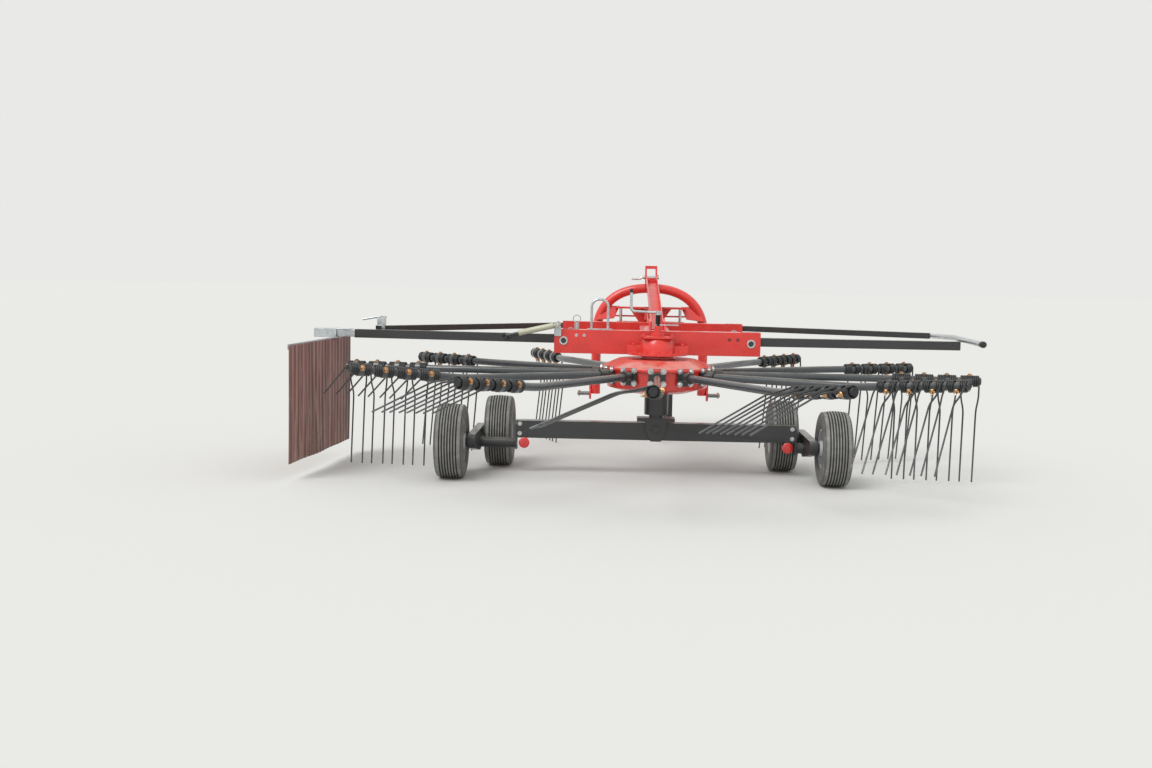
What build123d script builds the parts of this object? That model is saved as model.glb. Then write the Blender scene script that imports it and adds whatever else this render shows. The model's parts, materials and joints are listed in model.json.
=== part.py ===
"""Single-rotor rotary rake with a three-point headstock, twelve tine arms and a four-wheel axle.

Rotor frame while modelling: X to the right seen from behind, Y forward, Z up, ground at Z 0 and the
rotor's axis at X 0, Y 0. The parts are written with the middle of the whole rake's base as origin.
"""

import os
from math import atan2, cos, degrees, radians, sin, tan

from build123d import *

# Clearances
SEAT_GAP = 0.3
RUN_FIT = 0.05
AIR_GAP = 6.0

# Wheels and bogies
TYRE_R = 210.0
TYRE_W = 165.0
TREAD_HALF = 62.0
TREAD_DROP = 5.0
SHOULDER_DROP = 19.0
SHOULDER_IN = 4.0
WIDEST_R = 150.0
BEAD_R = 104.0
BEAD_HALF = 60.0
RIM_WALL = 5.0
RIM_LIP_R = 114.0
RIM_LIP_T = 4.0
RIM_HALF = 66.0
DISC_T = 7.0
DISC_AT = 8.0
CAP_R = 40.0
CAP_LONG = 36.0
CAP_WALL = 8.0
CAP_FOOT = 6.0
AXLE_R = 20.0
AXLE_COLLAR_R = 30.0
AXLE_OVER = 25.0
COLLAR_LONG = 10.0
WHEEL_HUB_R = 42.0
ROCKER_T = 45.0
ROCKER_END_R = 40.0
ROCKER_PIVOT_R = 48.0
ROCKER_GAP = 7.5
STUB_R = 30.0
STUB_Z = 172.0
REAR_WHEEL_Y = -240.0
FRONT_WHEEL_Y = 300.0
WHEEL_STEP = ROCKER_T / 2 + ROCKER_GAP + TYRE_W / 2

# Axle beam
AXLE_HALF = 800.0
AXLE_Y = 30.0
AXLE_Z = 255.0
AXLE_HIGH = 100.0
AXLE_DEEP = 80.0
AXLE_WALL = 6.0
END_PLATE_T = 10.0
END_PLATE_DROP = 70.0
STUB_OUT = {"left": 205.0, "right": 40.0}
STUB_END = 12.0
REFLECTOR_IN = 43.0
REFLECTOR_Z = 178.0
REFLECTOR_R = 28.0
REFLECTOR_T = 10.0
TAB_T = 4.0
TAB_W = 30.0
TAB_OVER = 10.0

# Column that carries the rotor on the axle
COLUMN_R = 40.0
SLEEVE_R = 68.5
SLEEVE_Z = 356.0
FORK_PLATE_T = 14.0
FORK_W = 120.0
SADDLE_W = 218.0
FORK_BOTTOM_Z = 200.0
FORK_TOP_Z = 335.0
FORK_TOP_T = 20.0
TILT_PIN_R = 20.0
TILT_PIN_Z = 272.0
TILT_PIN_OVER = 12.0
TILT_BOSS_WALL = 12.0
FORK_GAP = 2.0

# Rotor hub
HUB_BOTTOM_Z = 488.0
HUB_BOTTOM_R = 180.0
HUB_SIDE_Z = 518.0
HUB_SIDE_R = 285.0
HUB_RIM_R = 317.0
HUB_RIM_Z = 622.0
HUB_RIM_T = 14.0
HUB_TOP_R = 225.0
HUB_TOP_Z = 677.0
HUB_NECK_R = 98.0
HUB_WALL = 10.0
HUB_SIDE_WALL = 12.0
HUB_FLARE = 15.0
HUB_LIP_DROP = 8.0

# Tine arms
ARM_COUNT = 12
FIRST_ARM = -1.5
ARM_Z = 592.0
ARM_BEND_R = 1200.0
ARM_BEND = 6.0
ARM_R = 21.0
ARM_START = 322.0
ARM_END = 1820.0
SOCKET_R = 31.0
SOCKET_START = 288.0
SOCKET_END = 372.0
FLANGE_SIDE = 96.0
FLANGE_T = 12.0
FLANGE_OUT = 17.0
FIRST_TINE = 1385.0
TINE_PITCH = 125.0
TINE_COUNT = 4
WIRE_R = 4.75
COIL_R = 33.5
COIL_LONG = 38.0
WIRE_SIDES = 6
COIL_SIDES = 8
PRONG_STEP = 46.0
PRONG_TIP_STEP = 34.0
PRONG_START = 28.0
KINK_DOWN = 130.0
KINK_BACK = 8.0
TIP_DOWN = 572.0
TIP_LEAD = 6.0
CLIP_W = 30.0
CLIP_SIDE = 60.0

# Lift of each arm's tines behind the arm in degrees, from the first arm on round the rotor
ARM_LIFTS = [0, 0, 0, 0, 0, 0, 0, 72, 72, 72, 72, 45]

# Gearbox
GEAR_FLANGE_R = 175.0
GEAR_FLANGE_Z = 700.0
GEAR_FLANGE_T = 14.0
GEAR_BELL_R = 104.0
GEAR_NECK_R = 84.0
GEAR_BELL_Z = 738.0
GEAR_PLATE_X = 200.0
GEAR_PLATE_Y = 190.0
GEAR_PLATE_T = 10.0
GEAR_PLATE_ROUND = 47.5
GEAR_BELL_FULL = 3.0
GEAR_BODY_TOP = 806.0
GEAR_CAP_R = 38.0
GEAR_CAP_TOP = 824.0
GEAR_EAR_W = 70.0
GEAR_EAR_LONG = 80.0
GEAR_EAR_TOP = 752.0

# Frame above the rotor
BEAM_HALF = 600.0
BEAM_HIGH = 138.0
BEAM_DEEP = 80.0
BEAM_WALL = 8.0
BEAM_Z = 761.0
REAR_BEAM_Y = 150.0
FRONT_BEAM_Y = 1320.0
BEAM_SLOT = 115.0
CHANNEL_W = 180.0
CHANNEL_HIGH = 120.0
CHANNEL_WALL = 8.0
CHANNEL_SHORT = 100.0
WEB_T = 12.0
WEB_X = 24.0
WEB_LONG = 260.0
WEB_SETBACK = 10.0
WEB_LIP = 30.0
SHAFT_R = 22.0
SPLINE_R = 17.5
SPLINE_LONG = 100.0
SHAFT_Z = 750.0
SHAFT_AHEAD = 110.0
SHAFT_SEAT = 10.0
SHAFT_BEARING_T = 12.0
CONE_START_R = 42.0
CONE_END_R = 46.0
CONE_WALL = 4.0
CONE_SHORT = 20.0

# Swivel of the headstock
SWIVEL_Y = 1900.0
KING_PIN_R = 25.0
KING_PIN_OVER = 8.0
KING_HEAD_R = 35.0
KING_HEAD_T = 10.0
BOSS_R = 45.0
BOSS_LOW_Z = 826.0
BOSS_TOP_Z = 894.0
CROSS_PLATE_T = 14.0
CROSS_HALF = 250.0
CROSS_DEEP = 100.0
CROSS_BACK = 20.0
CHEEK_ROUND = 10.0
GUSSET_T = 12.0
GUSSET_IN = 30.0
GUSSET_OUT = 20.0
UPRIGHT_X = 212.0
UPRIGHT_R = 11.0
UPPER_TONGUE_Z = 1100.0
UPPER_TONGUE_T = 20.0
UPPER_TONGUE_LONG = 130.0
UPPER_PLATE_T = 12.0
UPPER_PLATE_SHORT = 30.0
UPPER_PIN_R = 15.0
UPPER_PIN_OVER = 4.0
UPPER_EYE_R = 38.0

# Headstock
HOOP_AHEAD = 100.0
HOOP_R = 385.0
HOOP_TUBE_R = 30.0
HOOP_TOP_Z = 1035.0
LINK_PIN_Z = 280.0
LINK_PIN_R = 14.0
LINK_PIN_LONG = 85.0
LINK_PLATE_T = 15.0
LINK_PLATE_R = 42.0
LINK_PLATE_W = 50.0
LINK_PLATE_LONG = 120.0
TOP_LINK_WIDE = 62.0
TOP_PLATE_T = 12.0
TOP_LINK_Z = 1125.0
TOP_LINK_STEP = 57.0
TOP_LINK_R = 12.7
TOP_PLATE_EDGE = 27.0
TOP_PLATE_HALF = 42.0
TOP_PLATE_FRONT = 34.0
TOP_PLATE_REAR = 26.0
TOP_PLATE_FOOT = 12.0
TOP_PIN_OVER = 14.0

# Mast stay
STAY_LOW_Y = 170.0
STAY_LOW_Z = 858.0
STAY_W = 76.0
STAY_HIGH = 50.0
STAY_WALL = 6.0
STAY_SHORT = 60.0
STAY_OVER = 22.0
STAY_FOOT_T = 10.0
STAY_FOOT_IN = 4.0
STAY_FOOT_LEAN = 60.0
STAY_FOOT_HIGH = 40.0
STAY_FOOT_REAR_HIGH = 25.0

# Side guards
HINGE_IN = 55.0
HINGE_Z = 765.0
HINGE_PIN_R = 15.0
HINGE_PIN_OVER = 4.0
HINGE_BLOCK_R = 40.0
GUARD_TUBE = 50.0
GUARD_WALL = 4.0
TUBE_START_IN = 10.0
REAR_TUBE_Z = 775.0
FRONT_TUBE = 36.0
FRONT_TUBE_Z = 800.0
TIE_T = 8.0
TIE_LONG = 120.0
CLAMP_W = 48.0
CLAMP_TOP_Z = 866.0
STRAIGHT_OUT = 40.0
LEFT_REACH = 1200.0
LEFT_JOIN_Y = 300.0
FRONT_TUBE_SHORT = 110.0
RIGHT_REACH = 1155.0
RAIL_FRONT_IN = 25.0
RIGHT_FRONT_END_Y = 800.0
RAIL_R = 15.0
RAIL_IN = 20.0
RAIL_REAR_Y = -430.0
RAIL_BEND = 400.0
RAIL_BOW = 20.0
RAIL_OVER = 10.0
RAIL_MIDDLE_AHEAD = 120.0
RAIL_MIDDLE_UP = 2.0

# Curtain and its carrier
CARRIER_OUT = 135.0
CARRIER_IN = 560.0
CURTAIN_FRONT_Y = 640.0
CURTAIN_REAR_Y = -480.0
CURTAIN_FRONT_OUT = 115.0
CURTAIN_SLANT = 100.0
HANGER_T = 6.0
HANGER_LONG = 110.0
HANGER_W = 70.0
CURTAIN_LOW_Z = 90.0
CURTAIN_T = 8.0
CURTAIN_SHORT = 10.0
BAR_W = 36.0
BAR_T = 30.0

# Lift strut of the left guard
STRUT_Y = 84.0
STRUT_IN = 21.0
STRUT_FRAME_Z = 858.0
STRUT_FOOT_Z = 790.0
STRUT_OUT = 290.0
STRUT_GUARD_Z = 786.0
STRUT_PIN_R = 8.0
STRUT_PIN_OVER = 4.0
STRUT_EYE_R = 16.0
STRUT_EYE_W = 24.0
STRUT_BODY_R = 17.0
STRUT_NECK = 26.0
STRUT_NECK_WALL = 2.0
STRUT_NECK_IN = 5.0
STRUT_BORE_AT = 60.0
STRUT_BODY_END = 232.0
STRUT_ROD_R = 9.0
STRUT_ROD_SHORT = 135.0
STRUT_BODY_GAP = 2.0
STRUT_CUT_OVER = 5.0
STRUT_LUG_T = 8.0
STRUT_LUG_R = 20.0

# Small fittings on the frame
HOSE_HOOP_LEFT_X = -384.0
HOSE_HOOP_RIGHT_X = -288.0
HOSE_HOOP_TOP = 1007.0
HOSE_ROD_R = 7.5
HOSE_BEND_R = 42.0
HOSE_FOOT_OVER = 25.0
HOSE_FOOT_W = 40.0
HOSE_FOOT_T = 6.0
RING_X = -470.0
RING_ROD_R = 6.0
RING_R = 24.0
RING_T = 6.0
RING_TOP_Z = 916.0
RING_ROD_IN = 4.0
LATCH_R = 14.0
LATCH_LONG = 34.0
CRANK_Z = 939.0
CRANK_ARM = 155.0
CRANK_KNOB_Z = 1074.0
CRANK_ROD_R = 9.0
CRANK_KNOB_R = 18.0
CRANK_BASE_R = 26.0
CRANK_BASE_TOP = 848.0
CRANK_BAR_LONG = 120.0
CRANK_BAR_OVER = 15.0
CRANK_BAR_W = 24.0
CRANK_BAR_T = 6.0
CRANK_BAR_UP = 12.0
CRANK_RISE = 6.0
CRANK_BEND_R = 20.0
CRANK_KNOB_LONG = 60.0

# Parking stand
STAND_SIDE = 60.0
STAND_AHEAD = 62.0
STAND_TUBE = 46.0
STAND_WALL = 5.0
STAND_SLEEVE_LOW = 380.0
STAND_SLEEVE_TOP = 780.0
STAND_TOP_Z = 540.0
STAND_FOOT = 88.0
STAND_FOOT_T = 8.0
STAND_ARM_UP = 20.0
STAND_ARM_HIGH = 60.0
STAND_ARM_DEEP = 120.0

# Derived places
SIDES = {"left": -1, "right": 1}
ROCKER_X = {
    side: sign * (AXLE_HALF + END_PLATE_T + STUB_OUT[side] + ROCKER_T / 2) for side, sign in SIDES.items()
}
REFLECTOR_X = AXLE_HALF - REFLECTOR_IN
CHANNEL_END_Y = SWIVEL_Y - CHANNEL_SHORT
HOOP_Y = SWIVEL_Y + HOOP_AHEAD
SHAFT_END_Y = SWIVEL_Y + SHAFT_AHEAD
STAND_Y = SWIVEL_Y + STAND_AHEAD
HINGE_X = BEAM_HALF - HINGE_IN
STRAIGHT_END_X = BEAM_HALF + STRAIGHT_OUT
LEFT_JOIN_X = BEAM_HALF + LEFT_REACH
LEFT_FRONT_END_X = LEFT_JOIN_X - FRONT_TUBE_SHORT
RIGHT_END_X = BEAM_HALF + RIGHT_REACH
RIGHT_FRONT_END_X = RIGHT_END_X - RAIL_FRONT_IN
RAIL_X = RIGHT_END_X - RAIL_IN
CARRIER_END_X = LEFT_JOIN_X + CARRIER_OUT
CURTAIN_FRONT_X = LEFT_JOIN_X + CURTAIN_FRONT_OUT
CURTAIN_REAR_X = CURTAIN_FRONT_X + CURTAIN_SLANT
STRUT_FRAME_X = BEAM_HALF - STRUT_IN
STRUT_GUARD_X = BEAM_HALF + STRUT_OUT
STAND_X = CHANNEL_W / 2 + STAND_SIDE
TOP_LINK_SPARE_Z = TOP_LINK_Z + TOP_LINK_STEP
TOP_PLATE_TOP = TOP_LINK_SPARE_Z + TOP_PLATE_EDGE
BEAM_LOW_Z = BEAM_Z - BEAM_HIGH / 2
BEAM_TOP_Z = BEAM_Z + BEAM_HIGH / 2
CHANNEL_TOP_Z = BEAM_LOW_Z + CHANNEL_HIGH
REAR_BEAM_FACE = REAR_BEAM_Y - BEAM_DEEP / 2
HUB_BORE_R = COLUMN_R + RUN_FIT
NECK_TOP_Z = GEAR_FLANGE_Z - AIR_GAP
STRUT_SIDE_Y = STRUT_Y + STRUT_BODY_R + STRUT_BODY_GAP
STAY_TOP_Y = SWIVEL_Y - STAY_SHORT
STAY_TOP_Z = UPPER_TONGUE_Z + STAY_OVER
INNER_TUBE = GUARD_TUBE - 2 * GUARD_WALL - 2 * SEAT_GAP
BAR_TOP_Z = REAR_TUBE_Z - INNER_TUBE / 2 - HANGER_T
CURTAIN_TOP_Z = BAR_TOP_Z - BAR_T

pieces = []


def keep(piece, name):
    """Label one finished piece and put it on the list that is written at the end."""
    piece.label = name
    pieces.append(piece)


def wheel_places():
    """Name, side of the rocker and centre of each wheel, outer wheels behind and inner ones ahead."""
    places = []
    for side, sign in SIDES.items():
        outer_x = ROCKER_X[side] + sign * WHEEL_STEP
        inner_x = ROCKER_X[side] - sign * WHEEL_STEP
        places.append((f"{side}_outer", sign, outer_x, REAR_WHEEL_Y))
        places.append((f"{side}_inner", -sign, inner_x, FRONT_WHEEL_Y))
    return places


def tyre(x, y):
    """One implement tyre, turned about its axle."""
    half = TYRE_W / 2
    side = [
        (TREAD_HALF / 2, TYRE_R), (TREAD_HALF, TYRE_R - TREAD_DROP),
        (half - SHOULDER_IN, TYRE_R - SHOULDER_DROP), (half, WIDEST_R), (BEAD_HALF, BEAD_R),
    ]
    with BuildPart() as body:
        with BuildSketch(Plane(origin=(x, y, TYRE_R), x_dir=(1, 0, 0), z_dir=(0, -1, 0))):
            with BuildLine():
                left = [(-across, radius) for across, radius in reversed(side)]
                Polyline(*left, *side, left[0])
            make_face()
        revolve(axis=Axis((x, y, TYRE_R), (1, 0, 0)))
    return body.part


def rim(sign, x, y):
    """One wheel disc with its barrel, flanges and closed hub, open towards the rocker for the axle."""
    hub_end = TYRE_W / 2 + ROCKER_GAP - COLLAR_LONG
    bore = AXLE_R + RUN_FIT
    inner = BEAD_R - RIM_WALL
    lip = RIM_HALF + RIM_LIP_T
    disc_out = DISC_AT + DISC_T
    cap_in = CAP_LONG - CAP_WALL
    outline = [
        (-hub_end, bore), (-hub_end, WHEEL_HUB_R), (DISC_AT, WHEEL_HUB_R), (DISC_AT, inner), (-lip, inner),
        (-lip, RIM_LIP_R), (-RIM_HALF, RIM_LIP_R), (-RIM_HALF, BEAD_R), (RIM_HALF, BEAD_R),
        (RIM_HALF, RIM_LIP_R), (lip, RIM_LIP_R), (lip, inner), (disc_out, inner),
        (disc_out, WHEEL_HUB_R + CAP_FOOT), (CAP_LONG, CAP_R), (CAP_LONG, 0), (cap_in, 0), (cap_in, bore),
        (-hub_end, bore),
    ]
    with BuildPart() as body:
        with BuildSketch(Plane(origin=(x, y, TYRE_R), x_dir=(1, 0, 0), z_dir=(0, -1, 0))):
            with BuildLine():
                Polyline(*[(sign * across, radius) for across, radius in outline])
            make_face()
        revolve(axis=Axis((x, y, TYRE_R), (1, 0, 0)))
    return body.part


for name, sign, x, y in wheel_places():
    keep(tyre(x, y), f"tyre_{name}")
    keep(rim(sign, x, y), f"rim_{name}")


def bogie(side):
    """Rocker beam with its two axles, on the stub that the axle beam's end plate carries."""
    sign = SIDES[side]
    rocker_x = ROCKER_X[side]
    plate_x = sign * (AXLE_HALF + END_PLATE_T)
    collar = COLLAR_LONG - SEAT_GAP
    axle_out = ROCKER_GAP + TYRE_W / 2 + AXLE_OVER
    with BuildPart() as body:
        with BuildSketch(Plane.YZ.offset(rocker_x - ROCKER_T / 2)):
            with Locations((REAR_WHEEL_Y, TYRE_R), (FRONT_WHEEL_Y, TYRE_R)):
                Circle(ROCKER_END_R)
            with Locations((AXLE_Y, STUB_Z)):
                Circle(ROCKER_PIVOT_R)
            make_hull()
        extrude(amount=ROCKER_T)
        with BuildSketch(Plane.YZ.offset(plate_x)):
            with Locations((AXLE_Y, STUB_Z)):
                Circle(STUB_R)
        extrude(amount=sign * (abs(rocker_x) + ROCKER_T / 2 + STUB_END - abs(plate_x)))
        for wheel_y, way in ((REAR_WHEEL_Y, sign), (FRONT_WHEEL_Y, -sign)):
            face_x = rocker_x + way * ROCKER_T / 2
            with BuildSketch(Plane.YZ.offset(face_x)):
                with Locations((wheel_y, TYRE_R)):
                    Circle(AXLE_COLLAR_R)
            extrude(amount=way * collar)
            with BuildSketch(Plane.YZ.offset(face_x)):
                with Locations((wheel_y, TYRE_R)):
                    Circle(AXLE_R)
            extrude(amount=way * axle_out)
    return body.part


for side in SIDES:
    keep(bogie(side), f"bogie_{side}")


def square_tube(width, height, wall):
    """Section of a rectangular tube in the sketch that is open."""
    Rectangle(width, height)
    Rectangle(width - 2 * wall, height - 2 * wall, mode=Mode.SUBTRACT)


with BuildPart() as axle_beam:
    with BuildSketch(Plane.YZ.offset(-AXLE_HALF)):
        with Locations((AXLE_Y, AXLE_Z)):
            square_tube(AXLE_DEEP, AXLE_HIGH, AXLE_WALL)
    extrude(amount=2 * AXLE_HALF)
    for start in (-AXLE_HALF - END_PLATE_T, AXLE_HALF):
        with BuildSketch(Plane.YZ.offset(start)):
            with Locations((AXLE_Y, AXLE_Z - END_PLATE_DROP / 2)):
                end_plate = Rectangle(AXLE_DEEP, AXLE_HIGH + END_PLATE_DROP)
            chamfer(end_plate.vertices().sort_by(Axis.Z)[:2], AXLE_DEEP / 4)
        extrude(amount=END_PLATE_T)
    with BuildSketch(Plane.XZ.offset(AXLE_DEEP / 2 - AXLE_Y)):
        with Locations((0, TILT_PIN_Z)):
            Circle(TILT_PIN_R + TILT_BOSS_WALL)
    extrude(amount=-AXLE_DEEP)
    with BuildSketch(Plane.XZ.offset(AXLE_DEEP / 2 - AXLE_Y)):
        with Locations((0, TILT_PIN_Z)):
            Circle(TILT_PIN_R + SEAT_GAP)
    extrude(amount=-AXLE_DEEP, mode=Mode.SUBTRACT)
    tab_top = AXLE_Z - AXLE_HIGH / 2
    with BuildSketch(Plane.XZ.offset(AXLE_DEEP / 2 - AXLE_Y)):
        with Locations((-REFLECTOR_X, tab_top), (REFLECTOR_X, tab_top)):
            Rectangle(TAB_W, 2 * (tab_top - REFLECTOR_Z + TAB_OVER))
    extrude(amount=TAB_T)
keep(axle_beam.part, "axle_beam")

for side, sign in SIDES.items():
    with BuildPart() as reflector:
        with BuildSketch(Plane.XZ.offset(AXLE_DEEP / 2 - AXLE_Y + TAB_T)):
            with Locations((sign * REFLECTOR_X, REFLECTOR_Z)):
                Circle(REFLECTOR_R)
        extrude(amount=REFLECTOR_T)
        outer_rim = reflector.faces().sort_by(Axis.Y)[0].edges()
        chamfer(outer_rim, REFLECTOR_T / 3)
    keep(reflector.part, f"reflector_{side}")

with BuildPart() as column:
    with BuildSketch(Plane.XY.offset(FORK_TOP_Z)):
        Circle(COLUMN_R)
    extrude(amount=GEAR_FLANGE_Z - FORK_TOP_Z)
    with BuildSketch(Plane.XY.offset(SLEEVE_Z)):
        Circle(SLEEVE_R)
    extrude(amount=HUB_BOTTOM_Z - AIR_GAP - SLEEVE_Z)
    fork_inside = AXLE_DEEP / 2 + FORK_GAP
    cheek_out = fork_inside + FORK_PLATE_T
    with BuildSketch(Plane.XY.offset(FORK_TOP_Z - FORK_TOP_T)):
        with Locations((0, AXLE_Y)):
            Rectangle(SADDLE_W, 2 * cheek_out)
    extrude(amount=FORK_TOP_T)
    for cheek_y in (AXLE_Y - cheek_out, AXLE_Y + fork_inside):
        with BuildSketch(Plane.XZ.offset(-cheek_y)):
            with BuildLine():
                Polyline(
                    (-FORK_W / 2, FORK_TOP_Z), (FORK_W / 2, FORK_TOP_Z), (FORK_W / 2, TILT_PIN_Z),
                    (FORK_W / 4, FORK_BOTTOM_Z), (-FORK_W / 4, FORK_BOTTOM_Z),
                    (-FORK_W / 2, TILT_PIN_Z), (-FORK_W / 2, FORK_TOP_Z),
                )
            make_face()
        extrude(amount=-FORK_PLATE_T)
    with BuildSketch(Plane.XZ.offset(cheek_out - AXLE_Y + TILT_PIN_OVER)):
        with Locations((0, TILT_PIN_Z)):
            Circle(TILT_PIN_R)
    extrude(amount=-2 * (cheek_out + TILT_PIN_OVER))
keep(column.part, "column")

with BuildPart() as rotor_hub:
    with BuildSketch(Plane.XZ):
        with BuildLine():
            Polyline(
                (HUB_BORE_R, HUB_BOTTOM_Z), (HUB_BOTTOM_R, HUB_BOTTOM_Z), (HUB_SIDE_R, HUB_SIDE_Z),
                (HUB_SIDE_R + HUB_FLARE, HUB_RIM_Z - HUB_LIP_DROP), (HUB_RIM_R, HUB_RIM_Z),
                (HUB_RIM_R, HUB_RIM_Z + HUB_RIM_T),
                (HUB_TOP_R, HUB_TOP_Z), (HUB_NECK_R, HUB_TOP_Z), (HUB_NECK_R, NECK_TOP_Z),
                (HUB_BORE_R, NECK_TOP_Z), (HUB_BORE_R, HUB_BOTTOM_Z),
            )
        make_face()
        with BuildLine():
            Polyline(
                (0, HUB_BOTTOM_Z + 2 * HUB_WALL), (HUB_BOTTOM_R, HUB_BOTTOM_Z + 2 * HUB_WALL),
                (HUB_SIDE_R - HUB_WALL, HUB_SIDE_Z + HUB_WALL),
                (HUB_SIDE_R + HUB_FLARE - HUB_SIDE_WALL, HUB_RIM_Z - HUB_LIP_DROP / 2),
                (HUB_TOP_R - HUB_WALL / 2, HUB_TOP_Z - HUB_WALL), (0, HUB_TOP_Z - HUB_WALL),
                (0, HUB_BOTTOM_Z + 2 * HUB_WALL),
            )
        make_face(mode=Mode.SUBTRACT)
    revolve(axis=Axis.Z)
keep(rotor_hub.part, "rotor_hub")

with BuildPart() as arm_sockets:
    for arm in range(ARM_COUNT):
        turn = FIRST_ARM + arm * 360 / ARM_COUNT
        outward = Vector(cos(radians(turn)), sin(radians(turn)), 0)
        seat = Plane(origin=outward * SOCKET_START + Vector(0, 0, ARM_Z), x_dir=(0, 0, 1), z_dir=outward)
        with BuildSketch(seat):
            Circle(SOCKET_R)
        extrude(amount=SOCKET_END - SOCKET_START)
        with BuildSketch(seat.offset(HUB_SIDE_R + FLANGE_OUT - SOCKET_START)):
            Rectangle(FLANGE_SIDE, FLANGE_SIDE)
        extrude(amount=FLANGE_T)
        with BuildSketch(seat.offset(ARM_START - SOCKET_START)):
            Circle(ARM_R)
        extrude(amount=SOCKET_END, mode=Mode.SUBTRACT)
    add(rotor_hub.part, mode=Mode.SUBTRACT)
keep(arm_sockets.part, "arm_sockets")

# One tine arm along X, its tines hanging down and the way it travels along +Y
kink_y = -PRONG_START - KINK_DOWN * tan(radians(KINK_BACK))
tip_y = kink_y + (TIP_DOWN - KINK_DOWN) * tan(radians(TIP_LEAD))
row_way = Vector(cos(radians(ARM_BEND)), -sin(radians(ARM_BEND)), 0)
row = Plane(origin=(ARM_BEND_R, 0, 0), x_dir=row_way, z_dir=(0, 0, 1))
row_end = row.from_local_coords(Vector(ARM_END - ARM_BEND_R, 0, 0))


def across_row(place):
    """Plane square to the arm's outer run, at a distance from the rotor's axis along the arm."""
    origin = row.from_local_coords(Vector(place - ARM_BEND_R, 0, 0))
    return Plane(origin=origin, x_dir=row.y_dir, z_dir=row.x_dir)


with BuildPart() as tine_arm:
    with BuildLine() as arm_line:
        Polyline((ARM_START + SEAT_GAP, 0, 0), (ARM_BEND_R, 0, 0), row_end)
    with BuildSketch(Plane.YZ.offset(ARM_START + SEAT_GAP)):
        Circle(ARM_R)
    sweep(path=arm_line.line, transition=Transition.RIGHT)
    for tine in range(TINE_COUNT):
        middle = FIRST_TINE + tine * TINE_PITCH
        with BuildSketch(across_row(middle - CLIP_W / 2)):
            Rectangle(CLIP_SIDE, CLIP_SIDE)
        extrude(amount=CLIP_W)
        for way in (-1, 1):
            with BuildSketch(across_row(middle + way * CLIP_W / 2)):
                RegularPolygon(COIL_R, COIL_SIDES)
            extrude(amount=way * COIL_LONG)
            top_x = middle + way * PRONG_STEP - ARM_BEND_R
            low_x = middle + way * PRONG_TIP_STEP - ARM_BEND_R
            corners = [(top_x, -PRONG_START, 0), (low_x, kink_y, -KINK_DOWN), (low_x, tip_y, -TIP_DOWN)]
            points = [row.from_local_coords(Vector(*corner)) for corner in corners]
            with BuildLine() as prong:
                Polyline(*points)
            with BuildSketch(Plane(origin=points[0], x_dir=row_way, z_dir=points[1] - points[0])):
                RegularPolygon(WIRE_R, WIRE_SIDES)
            sweep(path=prong.line, transition=Transition.RIGHT)

for arm, lift in enumerate(ARM_LIFTS):
    turn = radians(FIRST_ARM + arm * 360 / ARM_COUNT)
    up = (-sin(turn) * sin(radians(lift)), cos(turn) * sin(radians(lift)), cos(radians(lift)))
    place = Plane(origin=(0, 0, ARM_Z), x_dir=(cos(turn), sin(turn), 0), z_dir=up)
    keep(tine_arm.part.moved(place.location), f"tine_arm_{arm + 1:02d}")

with BuildPart() as gearbox:
    with BuildSketch(Plane.XY.offset(GEAR_FLANGE_Z)):
        Circle(GEAR_FLANGE_R)
    extrude(amount=GEAR_FLANGE_T)
    body_low = GEAR_FLANGE_Z + GEAR_FLANGE_T
    plate_low = GEAR_BODY_TOP - GEAR_PLATE_T
    with BuildSketch(Plane.XZ):
        with BuildLine():
            foot = Line((0, body_low), (GEAR_BELL_R, body_low))
            side = Line(foot @ 1, (GEAR_BELL_R, GEAR_BELL_Z))
            shoulder_middle = (
                (GEAR_BELL_R + GEAR_NECK_R) / 2 + GEAR_BELL_FULL, (GEAR_BELL_Z + plate_low) / 2
            )
            shoulder = ThreePointArc(side @ 1, shoulder_middle, (GEAR_NECK_R, plate_low))
            Polyline(shoulder @ 1, (0, plate_low), foot @ 0)
        make_face()
    revolve(axis=Axis.Z)
    with BuildSketch(Plane.XY.offset(body_low)):
        with Locations((GEAR_EAR_LONG / 2 - GEAR_FLANGE_R, 0), (GEAR_FLANGE_R - GEAR_EAR_LONG / 2, 0)):
            Rectangle(GEAR_EAR_LONG, GEAR_EAR_W)
    extrude(amount=GEAR_EAR_TOP - body_low)
    with BuildSketch(Plane.XY.offset(plate_low)):
        RectangleRounded(GEAR_PLATE_X, GEAR_PLATE_Y, GEAR_PLATE_ROUND)
    extrude(amount=GEAR_PLATE_T)
    with BuildSketch(Plane.XY.offset(GEAR_BODY_TOP)):
        Circle(GEAR_CAP_R)
    extrude(amount=GEAR_CAP_TOP - GEAR_BODY_TOP)
keep(gearbox.part, "gearbox")


def cross_beam(beam_y):
    """Cross beam of closed section, its ends slotted from above for the guards' hinge blocks."""
    with BuildPart() as body:
        with BuildSketch(Plane.YZ.offset(-BEAM_HALF)):
            with Locations((beam_y, BEAM_Z)):
                square_tube(BEAM_DEEP, BEAM_HIGH, BEAM_WALL)
        extrude(amount=2 * BEAM_HALF)
        for sign in SIDES.values():
            with BuildSketch(Plane.XY.offset(BEAM_TOP_Z - BEAM_WALL)):
                with Locations((sign * (BEAM_HALF - BEAM_SLOT / 2), beam_y)):
                    Rectangle(BEAM_SLOT, BEAM_DEEP - 2 * BEAM_WALL)
            extrude(amount=BEAM_WALL, mode=Mode.SUBTRACT)
        with BuildSketch(Plane.XZ.offset(BEAM_DEEP / 2 - beam_y)):
            with Locations((-HINGE_X, HINGE_Z), (HINGE_X, HINGE_Z)):
                Circle(HINGE_PIN_R)
        extrude(amount=-BEAM_DEEP, mode=Mode.SUBTRACT)
    return body.part


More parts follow.
